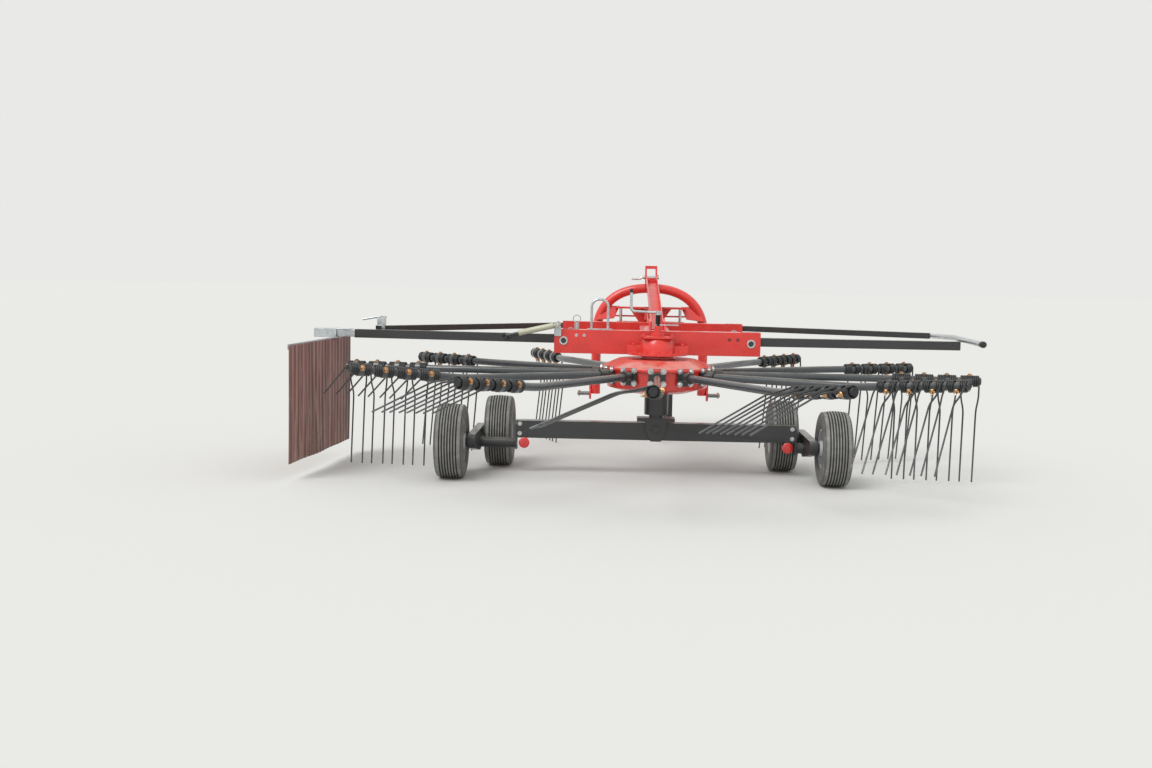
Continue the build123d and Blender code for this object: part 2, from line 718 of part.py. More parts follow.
with BuildPart() as rear_beam:
    add(cross_beam(REAR_BEAM_Y))
    with BuildSketch(Plane.XZ.offset(BEAM_DEEP / 2 - REAR_BEAM_Y)):
        with Locations((0, SHAFT_Z)):
            Circle(SHAFT_R + AIR_GAP)
    extrude(amount=-BEAM_DEEP, mode=Mode.SUBTRACT)
    add(gearbox.part, mode=Mode.SUBTRACT)
keep(rear_beam.part, "rear_beam")

with BuildPart() as front_beam:
    add(cross_beam(FRONT_BEAM_Y))
    with BuildSketch(Plane.XZ.offset(BEAM_DEEP / 2 - FRONT_BEAM_Y)):
        with Locations((0, BEAM_LOW_Z + CHANNEL_HIGH / 2)):
            Rectangle(CHANNEL_W, CHANNEL_HIGH)
    extrude(amount=-BEAM_DEEP, mode=Mode.SUBTRACT)
keep(front_beam.part, "front_beam")

with BuildPart() as main_beam:
    channel_start = REAR_BEAM_Y + BEAM_DEEP / 2
    with BuildSketch(Plane.XZ.offset(-channel_start)):
        with Locations((0, BEAM_LOW_Z + CHANNEL_HIGH / 2)):
            Rectangle(CHANNEL_W, CHANNEL_HIGH)
        with Locations((0, BEAM_LOW_Z + (CHANNEL_HIGH - CHANNEL_WALL) / 2)):
            Rectangle(CHANNEL_W - 2 * CHANNEL_WALL, CHANNEL_HIGH - CHANNEL_WALL, mode=Mode.SUBTRACT)
    extrude(amount=channel_start - CHANNEL_END_Y)
    with BuildSketch(Plane.XY.offset(BOSS_LOW_Z)):
        with Locations((0, SWIVEL_Y)):
            Circle(BOSS_R)
    extrude(amount=BOSS_TOP_Z - BOSS_LOW_Z)
    for web_x in (-WEB_X, WEB_X):
        with BuildSketch(Plane.YZ.offset(web_x - WEB_T / 2)):
            with BuildLine():
                Polyline(
                    (CHANNEL_END_Y - WEB_LONG, CHANNEL_TOP_Z),
                    (CHANNEL_END_Y - WEB_SETBACK, CHANNEL_TOP_Z),
                    (CHANNEL_END_Y + WEB_LIP, BOSS_LOW_Z), (SWIVEL_Y, BOSS_LOW_Z),
                    (SWIVEL_Y, BOSS_TOP_Z), (CHANNEL_END_Y, BOSS_TOP_Z),
                    (CHANNEL_END_Y - WEB_LONG, CHANNEL_TOP_Z),
                )
            make_face()
        extrude(amount=WEB_T)
    with BuildSketch(Plane.XY.offset(BOSS_LOW_Z)):
        with Locations((0, SWIVEL_Y)):
            Circle(KING_PIN_R + RUN_FIT)
    extrude(amount=BOSS_TOP_Z - BOSS_LOW_Z, mode=Mode.SUBTRACT)
    with BuildSketch(Plane.XZ.offset(-(CHANNEL_END_Y - SHAFT_BEARING_T))):
        with Locations((0, BEAM_LOW_Z + (CHANNEL_HIGH - CHANNEL_WALL) / 2)):
            Rectangle(CHANNEL_W - 2 * CHANNEL_WALL, CHANNEL_HIGH - CHANNEL_WALL)
        with Locations((0, SHAFT_Z)):
            Circle(SHAFT_R + RUN_FIT, mode=Mode.SUBTRACT)
    extrude(amount=-SHAFT_BEARING_T)
keep(main_beam.part, "main_beam")

with BuildPart() as input_shaft:
    gear_front = GEAR_NECK_R - SHAFT_SEAT
    with BuildSketch(Plane.XZ.offset(-gear_front)):
        with Locations((0, SHAFT_Z)):
            Circle(SHAFT_R)
    extrude(amount=gear_front - SHAFT_END_Y + SPLINE_LONG)
    with BuildSketch(Plane.XZ.offset(SPLINE_LONG - SHAFT_END_Y)):
        with Locations((0, SHAFT_Z)):
            Circle(SPLINE_R)
    extrude(amount=-SPLINE_LONG)
    add(gearbox.part, mode=Mode.SUBTRACT)
keep(input_shaft.part, "input_shaft")

with BuildPart() as shaft_guard:
    cone_end_y = SHAFT_END_Y - CONE_SHORT
    with BuildSketch(Plane.YZ):
        with BuildLine():
            Polyline(
                (CHANNEL_END_Y, SHAFT_Z + SHAFT_R + AIR_GAP), (CHANNEL_END_Y, SHAFT_Z + CONE_START_R),
                (cone_end_y, SHAFT_Z + CONE_END_R), (cone_end_y, SHAFT_Z + CONE_END_R - CONE_WALL),
                (CHANNEL_END_Y + CONE_WALL, SHAFT_Z + CONE_START_R - CONE_WALL),
                (CHANNEL_END_Y + CONE_WALL, SHAFT_Z + SHAFT_R + AIR_GAP),
                (CHANNEL_END_Y, SHAFT_Z + SHAFT_R + AIR_GAP),
            )
        make_face()
    revolve(axis=Axis((0, 0, SHAFT_Z), (0, 1, 0)))
keep(shaft_guard.part, "shaft_guard")

# Mast stay, an open channel from the rear beam up to the upper swivel
stay_run = Vector(0, STAY_TOP_Y - STAY_LOW_Y, STAY_TOP_Z - STAY_LOW_Z)
stay_plane = Plane(origin=(0, STAY_LOW_Y, STAY_LOW_Z), x_dir=(1, 0, 0), z_dir=stay_run)
with BuildPart() as mast_stay:
    with BuildSketch(stay_plane):
        Rectangle(STAY_W, STAY_HIGH)
        with Locations((0, -STAY_WALL)):
            Rectangle(STAY_W - 2 * STAY_WALL, STAY_HIGH, mode=Mode.SUBTRACT)
    extrude(amount=stay_run.length)
    with BuildSketch(Plane.XY.offset(UPPER_TONGUE_Z - UPPER_TONGUE_T / 2)):
        with Locations((0, SWIVEL_Y)):
            Circle(UPPER_EYE_R)
        with Locations((0, SWIVEL_Y - UPPER_TONGUE_LONG / 2)):
            Rectangle(STAY_W - 2 * STAY_WALL, UPPER_TONGUE_LONG)
        with Locations((0, SWIVEL_Y)):
            Circle(UPPER_PIN_R + RUN_FIT, mode=Mode.SUBTRACT)
    extrude(amount=UPPER_TONGUE_T)
    foot_start = REAR_BEAM_FACE + STAY_FOOT_IN
    foot_end = REAR_BEAM_FACE + BEAM_DEEP
    for foot_x in (-STAY_W / 2 - STAY_FOOT_T, STAY_W / 2):
        with BuildSketch(Plane.YZ.offset(foot_x)):
            with BuildLine():
                Polyline(
                    (foot_start, BEAM_TOP_Z), (foot_end - STAY_FOOT_IN, BEAM_TOP_Z),
                    (foot_end + STAY_FOOT_LEAN, STAY_LOW_Z + STAY_FOOT_HIGH),
                    (STAY_LOW_Y, STAY_LOW_Z + STAY_FOOT_REAR_HIGH), (foot_start, BEAM_TOP_Z),
                )
            make_face()
        extrude(amount=STAY_FOOT_T)
keep(mast_stay.part, "mast_stay")

with BuildPart() as height_crank:
    with BuildSketch(Plane.XY.offset(GEAR_CAP_TOP)):
        Circle(CRANK_BASE_R)
    extrude(amount=CRANK_BASE_TOP - GEAR_CAP_TOP)
    with BuildSketch(Plane.XY.offset(CRANK_BASE_TOP + CRANK_BAR_UP)):
        with Locations((CRANK_BAR_LONG / 2, 0)):
            Rectangle(CRANK_BAR_LONG + 2 * CRANK_BAR_OVER, CRANK_BAR_W)
    extrude(amount=CRANK_BAR_T)
    with BuildLine() as crank_path:
        FilletPolyline(
            (0, 0, CRANK_BASE_TOP), (0, 0, CRANK_Z), (-CRANK_ARM, 0, CRANK_Z + CRANK_RISE),
            (-CRANK_ARM, 0, CRANK_KNOB_Z - CRANK_BEND_R), radius=CRANK_BEND_R,
        )
    with BuildSketch(Plane.XY.offset(CRANK_BASE_TOP)):
        Circle(CRANK_ROD_R)
    sweep(path=crank_path.line)
    with BuildSketch(Plane.XY.offset(CRANK_KNOB_Z - CRANK_KNOB_LONG)):
        with Locations((-CRANK_ARM, 0)):
            Circle(CRANK_KNOB_R)
    extrude(amount=CRANK_KNOB_LONG)
keep(height_crank.part, "height_crank")

with BuildPart() as hose_hoop:
    hoop_y = REAR_BEAM_Y
    with BuildLine() as hoop_path:
        FilletPolyline(
            (HOSE_HOOP_LEFT_X, hoop_y, BEAM_TOP_Z), (HOSE_HOOP_LEFT_X, hoop_y, HOSE_HOOP_TOP),
            (HOSE_HOOP_RIGHT_X, hoop_y, HOSE_HOOP_TOP), (HOSE_HOOP_RIGHT_X, hoop_y, BEAM_TOP_Z),
            radius=HOSE_BEND_R,
        )
    with BuildSketch(Plane.XY.offset(BEAM_TOP_Z)):
        with Locations((HOSE_HOOP_LEFT_X, hoop_y)):
            Circle(HOSE_ROD_R)
    sweep(path=hoop_path.line)
    with BuildSketch(Plane.XY.offset(BEAM_TOP_Z)):
        with Locations(((HOSE_HOOP_LEFT_X + HOSE_HOOP_RIGHT_X) / 2, hoop_y)):
            Rectangle(HOSE_HOOP_RIGHT_X - HOSE_HOOP_LEFT_X + 2 * HOSE_FOOT_OVER, HOSE_FOOT_W)
    extrude(amount=HOSE_FOOT_T)
keep(hose_hoop.part, "hose_hoop")

with BuildPart() as latch_pin:
    with BuildSketch(Plane.XY.offset(BEAM_TOP_Z)):
        with Locations((RING_X, REAR_BEAM_Y)):
            Circle(LATCH_R)
    extrude(amount=LATCH_LONG)
    with BuildSketch(Plane.XY.offset(BEAM_TOP_Z)):
        with Locations((RING_X, REAR_BEAM_Y)):
            Circle(RING_ROD_R)
    extrude(amount=RING_TOP_Z - 2 * RING_R - BEAM_TOP_Z + RING_ROD_IN)
    with BuildSketch(Plane.XZ.offset(RING_T / 2 - REAR_BEAM_Y)):
        with Locations((RING_X, RING_TOP_Z - RING_R)):
            Circle(RING_R)
            Circle(RING_R - RING_T, mode=Mode.SUBTRACT)
    extrude(amount=-RING_T)
keep(latch_pin.part, "latch_pin")

# Headstock: hoop, swivel cross member, upper plates, link pins
with BuildPart() as headstock_hoop:
    leg_low = LINK_PIN_Z
    arc_z = HOOP_TOP_Z - HOOP_R
    with BuildLine(Plane.XZ.offset(-HOOP_Y)) as hoop_line:
        leg_up = Line((-HOOP_R, leg_low), (-HOOP_R, arc_z))
        over = ThreePointArc((-HOOP_R, arc_z), (0, HOOP_TOP_Z), (HOOP_R, arc_z))
        leg_down = Line((HOOP_R, arc_z), (HOOP_R, leg_low))
    with BuildSketch(Plane.XY.offset(leg_low)):
        with Locations((-HOOP_R, HOOP_Y)):
            Circle(HOOP_TUBE_R)
    sweep(path=hoop_line.line)
keep(headstock_hoop.part, "headstock_hoop")

with BuildPart() as headstock_cross:
    cross_low = BOSS_TOP_Z + SEAT_GAP
    cross_top = cross_low + CROSS_PLATE_T
    under = BOSS_LOW_Z - SEAT_GAP - CROSS_PLATE_T
    for low, plate_long in ((cross_low, 2 * CROSS_HALF), (under, 2 * (BOSS_R + CHEEK_ROUND))):
        with BuildSketch(Plane.XY.offset(low)):
            with Locations((0, HOOP_Y - CROSS_BACK)):
                Rectangle(plate_long, CROSS_DEEP)
            with Locations((0, SWIVEL_Y)):
                Circle(BOSS_R + CHEEK_ROUND)
            with Locations((0, (SWIVEL_Y + HOOP_Y) / 2)):
                Rectangle(2 * (BOSS_R + CHEEK_ROUND), HOOP_Y - SWIVEL_Y)
            with Locations((0, SWIVEL_Y)):
                Circle(KING_PIN_R, mode=Mode.SUBTRACT)
        extrude(amount=CROSS_PLATE_T)
    with BuildSketch(Plane.XZ.offset(CROSS_PLATE_T / 2 - HOOP_Y)):
        with Locations((0, (under + cross_top) / 2)):
            Rectangle(2 * CROSS_HALF, cross_top - under)
    extrude(amount=-CROSS_PLATE_T)
    with BuildSketch(Plane.XY.offset(under)):
        with Locations((-UPRIGHT_X, HOOP_Y - CROSS_DEEP / 2), (UPRIGHT_X, HOOP_Y - CROSS_DEEP / 2)):
            Circle(UPRIGHT_R)
    extrude(amount=cross_low - under)
    for sign in SIDES.values():
        inner_x = sign * (CROSS_HALF - GUSSET_IN)
        with BuildSketch(Plane.XZ.offset(GUSSET_T / 2 - HOOP_Y)):
            with BuildLine():
                Polyline(
                    (inner_x, under), (sign * HOOP_R, cross_low - CROSS_DEEP - GUSSET_IN),
                    (sign * (HOOP_R - HOOP_TUBE_R), cross_low - CROSS_DEEP / 2),
                    (sign * (CROSS_HALF + GUSSET_OUT), cross_top), (inner_x, cross_top), (inner_x, under),
                )
            make_face()
        extrude(amount=-GUSSET_T)
    add(headstock_hoop.part, mode=Mode.SUBTRACT)
keep(headstock_cross.part, "headstock_cross")

with BuildPart() as king_pin:
    with BuildSketch(Plane.XY.offset(BOSS_LOW_Z - CROSS_PLATE_T - KING_PIN_OVER)):
        with Locations((0, SWIVEL_Y)):
            Circle(KING_PIN_R)
    extrude(amount=BOSS_TOP_Z - BOSS_LOW_Z + 2 * (CROSS_PLATE_T + KING_PIN_OVER))
    with BuildSketch(Plane.XY.offset(BOSS_TOP_Z + CROSS_PLATE_T + 2 * SEAT_GAP)):
        with Locations((0, SWIVEL_Y)):
            Circle(KING_HEAD_R)
    extrude(amount=KING_HEAD_T)
keep(king_pin.part, "king_pin")

with BuildPart() as top_link_bracket:
    plate_low = HOOP_TOP_Z + TOP_PLATE_FOOT
    for sign in SIDES.values():
        plate_x = sign * TOP_LINK_WIDE / 2
        with BuildSketch(Plane.YZ.offset(plate_x)):
            with BuildLine():
                Polyline(
                    (HOOP_Y - TOP_PLATE_HALF, plate_low), (HOOP_Y + TOP_PLATE_HALF, plate_low),
                    (HOOP_Y + TOP_PLATE_FRONT, TOP_PLATE_TOP), (HOOP_Y - TOP_PLATE_REAR, TOP_PLATE_TOP),
                    (HOOP_Y - TOP_PLATE_HALF, TOP_LINK_Z), (HOOP_Y - TOP_PLATE_HALF, plate_low),
                )
            make_face()
            with Locations((HOOP_Y, TOP_LINK_Z), (HOOP_Y, TOP_LINK_SPARE_Z)):
                Circle(TOP_LINK_R, mode=Mode.SUBTRACT)
        extrude(amount=sign * TOP_PLATE_T)
    for low_z in (
        UPPER_TONGUE_Z - UPPER_TONGUE_T / 2 - SEAT_GAP - UPPER_PLATE_T,
        UPPER_TONGUE_Z + UPPER_TONGUE_T / 2 + SEAT_GAP,
    ):
        with BuildSketch(Plane.XY.offset(low_z)):
            with Locations((0, SWIVEL_Y)):
                Circle(UPPER_EYE_R)
            with Locations((0, SWIVEL_Y + (HOOP_AHEAD - UPPER_PLATE_SHORT) / 2)):
                Rectangle(2 * UPPER_EYE_R, HOOP_AHEAD - UPPER_PLATE_SHORT)
            with Locations((0, SWIVEL_Y)):
                Circle(UPPER_PIN_R, mode=Mode.SUBTRACT)
        extrude(amount=UPPER_PLATE_T)
    add(headstock_hoop.part, mode=Mode.SUBTRACT)
keep(top_link_bracket.part, "top_link_bracket")

with BuildPart() as upper_pin:
    reach = UPPER_TONGUE_T / 2 + SEAT_GAP + UPPER_PLATE_T + UPPER_PIN_OVER
    with BuildSketch(Plane.XY.offset(UPPER_TONGUE_Z - reach)):
        with Locations((0, SWIVEL_Y)):
            Circle(UPPER_PIN_R)
    extrude(amount=2 * reach)
keep(upper_pin.part, "upper_pin")

with BuildPart() as top_link_pin:
    pin_half = TOP_LINK_WIDE / 2 + TOP_PLATE_T + TOP_PIN_OVER
    with BuildSketch(Plane.YZ.offset(-pin_half)):
        with Locations((HOOP_Y, TOP_LINK_Z)):
            Circle(TOP_LINK_R)
    extrude(amount=2 * pin_half)
keep(top_link_pin.part, "top_link_pin")

for side, sign in SIDES.items():
    with BuildPart() as link_pin:
        plate_start = sign * (HOOP_R + HOOP_TUBE_R)
        with BuildSketch(Plane.YZ.offset(plate_start)):
            with Locations((HOOP_Y, LINK_PIN_Z)):
                Circle(LINK_PLATE_R)
            with Locations((HOOP_Y, LINK_PIN_Z + LINK_PLATE_LONG / 2)):
                Rectangle(LINK_PLATE_W, LINK_PLATE_LONG)
        extrude(amount=sign * LINK_PLATE_T)
        with BuildSketch(Plane.YZ.offset(plate_start)):
            with Locations((HOOP_Y, LINK_PIN_Z)):
                Circle(LINK_PIN_R)
        extrude(amount=sign * (LINK_PLATE_T + LINK_PIN_LONG))
    keep(link_pin.part, f"lower_link_pin_{side}")


def hinge_block(sign, beam_y):
    """Solid hinge block that lies in a cross beam's open end, with its pin."""
    with BuildPart() as block:
        with BuildSketch(Plane.XZ.offset(GUARD_TUBE / 2 - beam_y)):
            with Locations((sign * HINGE_X, HINGE_Z)):
                Circle(HINGE_BLOCK_R)
            with Locations((sign * (HINGE_X + BEAM_HALF) / 2, HINGE_Z)):
                Rectangle(BEAM_HALF - HINGE_X, 2 * HINGE_BLOCK_R)
        extrude(amount=-GUARD_TUBE)
        with BuildSketch(Plane.XZ.offset(BEAM_DEEP / 2 + HINGE_PIN_OVER - beam_y)):
            with Locations((sign * HINGE_X, HINGE_Z)):
                Circle(HINGE_PIN_R - RUN_FIT)
        extrude(amount=-(BEAM_DEEP + 2 * HINGE_PIN_OVER))
    return block.part


def guard_tube(sign, beam_y, tube_z, side, end_x, end_y):
    """One guard tube from its hinge block straight out of the beam, then on to its outer end."""
    block = hinge_block(sign, beam_y)
    start_x = sign * (BEAM_HALF - TUBE_START_IN)
    with BuildPart() as body:
        with BuildLine() as run:
            Polyline(
                (start_x, beam_y, tube_z), (sign * STRAIGHT_END_X, beam_y, tube_z),
                (sign * end_x, end_y, tube_z),
            )
        with BuildSketch(Plane.YZ.offset(start_x)):
            with Locations((beam_y, tube_z)):
                square_tube(side, side, GUARD_WALL)
        sweep(path=run.line, transition=Transition.RIGHT)
        add(block)
    return body.part


left_rear_slope = (LEFT_JOIN_Y - REAR_BEAM_Y) / (LEFT_JOIN_X - STRAIGHT_END_X)
left_front_slope = (FRONT_BEAM_Y - LEFT_JOIN_Y) / (LEFT_JOIN_X - STRAIGHT_END_X)
left_front_end_y = FRONT_BEAM_Y - left_front_slope * (LEFT_FRONT_END_X - STRAIGHT_END_X)


def rear_tube_y(place):
    """Middle of the left rear tube at a distance to the left of the rotor's axis."""
    return REAR_BEAM_Y + left_rear_slope * (place - STRAIGHT_END_X)


with BuildPart() as left_rear:
    add(guard_tube(-1, REAR_BEAM_Y, REAR_TUBE_Z, GUARD_TUBE, LEFT_JOIN_X, LEFT_JOIN_Y))
    tie_top = FRONT_TUBE_Z - FRONT_TUBE / 2
    tie_in = LEFT_FRONT_END_X - TIE_LONG
    in_wall = GUARD_TUBE / 2 - GUARD_WALL / 2
    with BuildSketch(Plane.XY.offset(tie_top - TIE_T)):
        with BuildLine():
            Polyline(
                (-LEFT_FRONT_END_X, rear_tube_y(LEFT_FRONT_END_X) + in_wall),
                (-tie_in, rear_tube_y(tie_in) + in_wall),
                (-tie_in - FRONT_TUBE / 2, left_front_end_y + CLAMP_W + FRONT_TUBE),
                (-LEFT_FRONT_END_X, left_front_end_y),
                (-LEFT_FRONT_END_X, rear_tube_y(LEFT_FRONT_END_X) + in_wall),
            )
        make_face()
    extrude(amount=TIE_T)
    with BuildSketch(Plane.XZ.offset(-STRUT_SIDE_Y)):
        with Locations((-STRUT_GUARD_X, STRUT_GUARD_Z)):
            Rectangle(STRUT_EYE_W, STRUT_EYE_W)
    extrude(amount=STRUT_SIDE_Y - rear_tube_y(STRUT_GUARD_X) + in_wall)
    with BuildSketch(Plane.XZ.offset(-STRUT_SIDE_Y)):
        with Locations((-STRUT_GUARD_X, STRUT_GUARD_Z)):
            Circle(STRUT_LUG_R)
    extrude(amount=-STRUT_LUG_T)
    with BuildSketch(Plane.XZ.offset(-STRUT_SIDE_Y)):
        with Locations((-STRUT_GUARD_X, STRUT_GUARD_Z)):
            Circle(STRUT_PIN_R)
    extrude(amount=STRUT_SIDE_Y - STRUT_Y - STRUT_EYE_W / 2 - SEAT_GAP)
keep(left_rear.part, "left_guard_rear_tube")

with BuildPart() as left_front:
    add(guard_tube(-1, FRONT_BEAM_Y, FRONT_TUBE_Z, FRONT_TUBE, LEFT_FRONT_END_X, left_front_end_y))
    with BuildSketch(Plane.XY.offset(tie_top)):
        with Locations((-LEFT_FRONT_END_X + CLAMP_W / 2, left_front_end_y + CLAMP_W / 2)):
            Rectangle(CLAMP_W, CLAMP_W)
    extrude(amount=CLAMP_TOP_Z - tie_top)
keep(left_front.part, "left_guard_front_tube")

right_rear = guard_tube(1, REAR_BEAM_Y, REAR_TUBE_Z, GUARD_TUBE, RIGHT_END_X, REAR_BEAM_Y)
keep(right_rear, "right_guard_rear_tube")

right_front = guard_tube(1, FRONT_BEAM_Y, FRONT_TUBE_Z, FRONT_TUBE, RIGHT_FRONT_END_X, RIGHT_FRONT_END_Y)
keep(right_front, "right_guard_front_tube")

with BuildPart() as right_rail:
    rail_rear_z = REAR_TUBE_Z + GUARD_TUBE / 2 + RAIL_R
    rail_start = Vector(RAIL_X, RIGHT_FRONT_END_Y + RAIL_OVER, FRONT_TUBE_Z)
    rail_middle = Vector(
        RAIL_X + RAIL_BOW, REAR_BEAM_Y + RAIL_MIDDLE_AHEAD, rail_rear_z + RAIL_MIDDLE_UP
    )
    with BuildLine() as rail_run:
        FilletPolyline(rail_start, rail_middle, (RAIL_X, RAIL_REAR_Y, rail_rear_z), radius=RAIL_BEND)
    with BuildSketch(Plane(origin=rail_start, z_dir=rail_middle - rail_start)):
        Circle(RAIL_R)
    sweep(path=rail_run.line)
    add(right_front, mode=Mode.SUBTRACT)
    add(right_rear, mode=Mode.SUBTRACT)
keep(right_rail.part, "right_guard_rail")

# Curtain carrier sliding in the left rear tube
carrier_way = Vector(STRAIGHT_END_X - LEFT_JOIN_X, LEFT_JOIN_Y - REAR_BEAM_Y, 0).normalized()
tube_mouth = Vector(-LEFT_JOIN_X, LEFT_JOIN_Y, REAR_TUBE_Z)
carrier_plane = Plane(origin=tube_mouth - carrier_way * CARRIER_IN, x_dir=(0, 0, 1), z_dir=carrier_way)
hanger_plane = Plane(origin=tube_mouth + carrier_way * CARRIER_OUT, x_dir=(0, 0, 1), z_dir=carrier_way)
with BuildPart() as curtain_carrier:
    with BuildSketch(carrier_plane):
        square_tube(INNER_TUBE, INNER_TUBE, GUARD_WALL)
    extrude(amount=CARRIER_IN + CARRIER_OUT)
    with BuildSketch(hanger_plane):
        with Locations((INNER_TUBE / 2 + HANGER_T / 2, 0)):
            Rectangle(HANGER_T, HANGER_W)
    extrude(amount=-HANGER_LONG)
    with BuildSketch(hanger_plane):
        Rectangle(INNER_TUBE + 2 * HANGER_T, HANGER_W)
    extrude(amount=HANGER_T)
keep(curtain_carrier.part, "curtain_carrier")

curtain_turn = degrees(atan2(CURTAIN_FRONT_Y - CURTAIN_REAR_Y, CURTAIN_REAR_X - CURTAIN_FRONT_X))
curtain_long = Vector(CURTAIN_REAR_X - CURTAIN_FRONT_X, CURTAIN_FRONT_Y - CURTAIN_REAR_Y).length
curtain_middle = (-(CURTAIN_REAR_X + CURTAIN_FRONT_X) / 2, (CURTAIN_FRONT_Y + CURTAIN_REAR_Y) / 2)
with BuildPart() as curtain_bar:
    with BuildSketch(Plane.XY.offset(CURTAIN_TOP_Z)):
        with Locations(Location((*curtain_middle, 0), (0, 0, curtain_turn))):
            Rectangle(curtain_long, BAR_W)
    extrude(amount=BAR_T)
keep(curtain_bar.part, "curtain_bar")

with BuildPart() as curtain:
    with BuildSketch(Plane.XY.offset(CURTAIN_LOW_Z)):
        with Locations(Location((*curtain_middle, 0), (0, 0, curtain_turn))):
            Rectangle(curtain_long - CURTAIN_SHORT, CURTAIN_T)
    extrude(amount=CURTAIN_TOP_Z - CURTAIN_LOW_Z)
keep(curtain.part, "curtain")

# Lift strut: cylinder on the rear beam, rod on the left guard
strut_start = Vector(-STRUT_FRAME_X, STRUT_Y, STRUT_FRAME_Z)
strut_end = Vector(-STRUT_GUARD_X, STRUT_Y, STRUT_GUARD_Z)
strut_way = (strut_end - strut_start).normalized()
strut_long = (strut_end - strut_start).length
with BuildPart() as strut_bracket:
    with BuildSketch(Plane.XZ.offset(-STRUT_SIDE_Y)):
        with Locations((-STRUT_FRAME_X, STRUT_FRAME_Z)):
            Circle(STRUT_LUG_R)
        with Locations((-STRUT_FRAME_X, (STRUT_FRAME_Z + STRUT_FOOT_Z) / 2)):
            Rectangle(2 * STRUT_LUG_R, STRUT_FRAME_Z - STRUT_FOOT_Z)
    extrude(amount=-(REAR_BEAM_FACE - STRUT_SIDE_Y))
    with BuildSketch(Plane.XZ.offset(-STRUT_SIDE_Y)):
        with Locations((-STRUT_FRAME_X, STRUT_FRAME_Z)):
            Circle(STRUT_PIN_R)
    extrude(amount=STRUT_SIDE_Y - STRUT_Y + STRUT_EYE_W / 2 + STRUT_PIN_OVER)
keep(strut_bracket.part, "strut_bracket")

with BuildPart() as strut_cylinder:
    with BuildSketch(Plane.XZ.offset(-(STRUT_Y + STRUT_EYE_W / 2))):
        with Locations((strut_start.X, strut_start.Z)):
            Circle(STRUT_EYE_R)
    extrude(amount=STRUT_EYE_W)
    with BuildSketch(Plane(origin=strut_start, x_dir=(0, 1, 0), z_dir=strut_way)):
        Circle(STRUT_ROD_R + STRUT_NECK_WALL)
    extrude(amount=STRUT_NECK + STRUT_NECK_IN)
    with BuildSketch(Plane(origin=strut_start + strut_way * STRUT_NECK, x_dir=(0, 1, 0), z_dir=strut_way)):
        Circle(STRUT_BODY_R)
    extrude(amount=STRUT_BODY_END - STRUT_NECK)
    with BuildSketch(Plane.XZ.offset(-(STRUT_Y + STRUT_EYE_W / 2 + STRUT_CUT_OVER))):
        with Locations((strut_start.X, strut_start.Z)):
            Circle(STRUT_PIN_R + RUN_FIT)
    extrude(amount=STRUT_EYE_W + 2 * STRUT_CUT_OVER, mode=Mode.SUBTRACT)
    bore_start = strut_start + strut_way * STRUT_BORE_AT
    with BuildSketch(Plane(origin=bore_start, x_dir=(0, 1, 0), z_dir=strut_way)):
        Circle(STRUT_ROD_R + RUN_FIT)
    extrude(amount=STRUT_BODY_END, mode=Mode.SUBTRACT)
keep(strut_cylinder.part, "strut_cylinder")

with BuildPart() as strut_rod:
    with BuildSketch(Plane.XZ.offset(-(STRUT_Y + STRUT_EYE_W / 2))):
        with Locations((strut_end.X, strut_end.Z)):
            Circle(STRUT_EYE_R)
    extrude(amount=STRUT_EYE_W)
    with BuildSketch(Plane(origin=strut_end, x_dir=(0, 1, 0), z_dir=-strut_way)):
        Circle(STRUT_ROD_R)
    extrude(amount=strut_long - STRUT_ROD_SHORT)
    with BuildSketch(Plane.XZ.offset(-(STRUT_Y + STRUT_EYE_W / 2 + STRUT_CUT_OVER))):
        with Locations((strut_end.X, strut_end.Z)):
            Circle(STRUT_PIN_R + RUN_FIT)
    extrude(amount=STRUT_EYE_W + 2 * STRUT_CUT_OVER, mode=Mode.SUBTRACT)
keep(strut_rod.part, "strut_rod")

# Parking stand
with BuildPart() as stand_sleeve:
    sleeve = STAND_TUBE + 2 * SEAT_GAP + 2 * STAND_WALL
    with BuildSketch(Plane.XY.offset(STAND_SLEEVE_LOW)):
        with Locations((STAND_X, STAND_Y)):
            square_tube(sleeve, sleeve, STAND_WALL)
    extrude(amount=STAND_SLEEVE_TOP - STAND_SLEEVE_LOW)
    arm_x = CHANNEL_W / 2
    with BuildSketch(Plane.XY.offset(BEAM_LOW_Z + STAND_ARM_UP)):
        with BuildLine():
            Polyline(
                (arm_x, CHANNEL_END_Y - STAND_ARM_DEEP), (STAND_X + sleeve / 2, STAND_Y - sleeve / 2),
                (STAND_X - sleeve / 2, STAND_Y - sleeve / 2), (arm_x, CHANNEL_END_Y),
                (arm_x, CHANNEL_END_Y - STAND_ARM_DEEP),
            )
        make_face()
    extrude(amount=STAND_ARM_HIGH)
keep(stand_sleeve.part, "stand_sleeve")

with BuildPart() as parking_leg:
    with BuildSketch(Plane.XY):
        with Locations((STAND_X, STAND_Y)):
            Rectangle(STAND_FOOT, STAND_FOOT)
    extrude(amount=STAND_FOOT_T)
    with BuildSketch(Plane.XY.offset(STAND_FOOT_T)):
        with Locations((STAND_X, STAND_Y)):
            square_tube(STAND_TUBE, STAND_TUBE, STAND_WALL)
    extrude(amount=STAND_TOP_Z - STAND_FOOT_T)
keep(parking_leg.part, "parking_leg")

boxes = [piece.bounding_box() for piece in pieces]
base_x = (min(box.min.X for box in boxes) + max(box.max.X for box in boxes)) / 2
base_y = (min(box.min.Y for box in boxes) + max(box.max.Y for box in boxes)) / 2
base = Location((-base_x, -base_y, 0))

os.makedirs("parts", exist_ok=True)
for piece in pieces:
    placed = piece.moved(base)
    placed.label = piece.label
    export_step(placed, f"parts/{piece.label}.step")
print(f"rotor axis at X {-base_x:.3f}, Y {-base_y:.3f}; {len(pieces)} nodes")
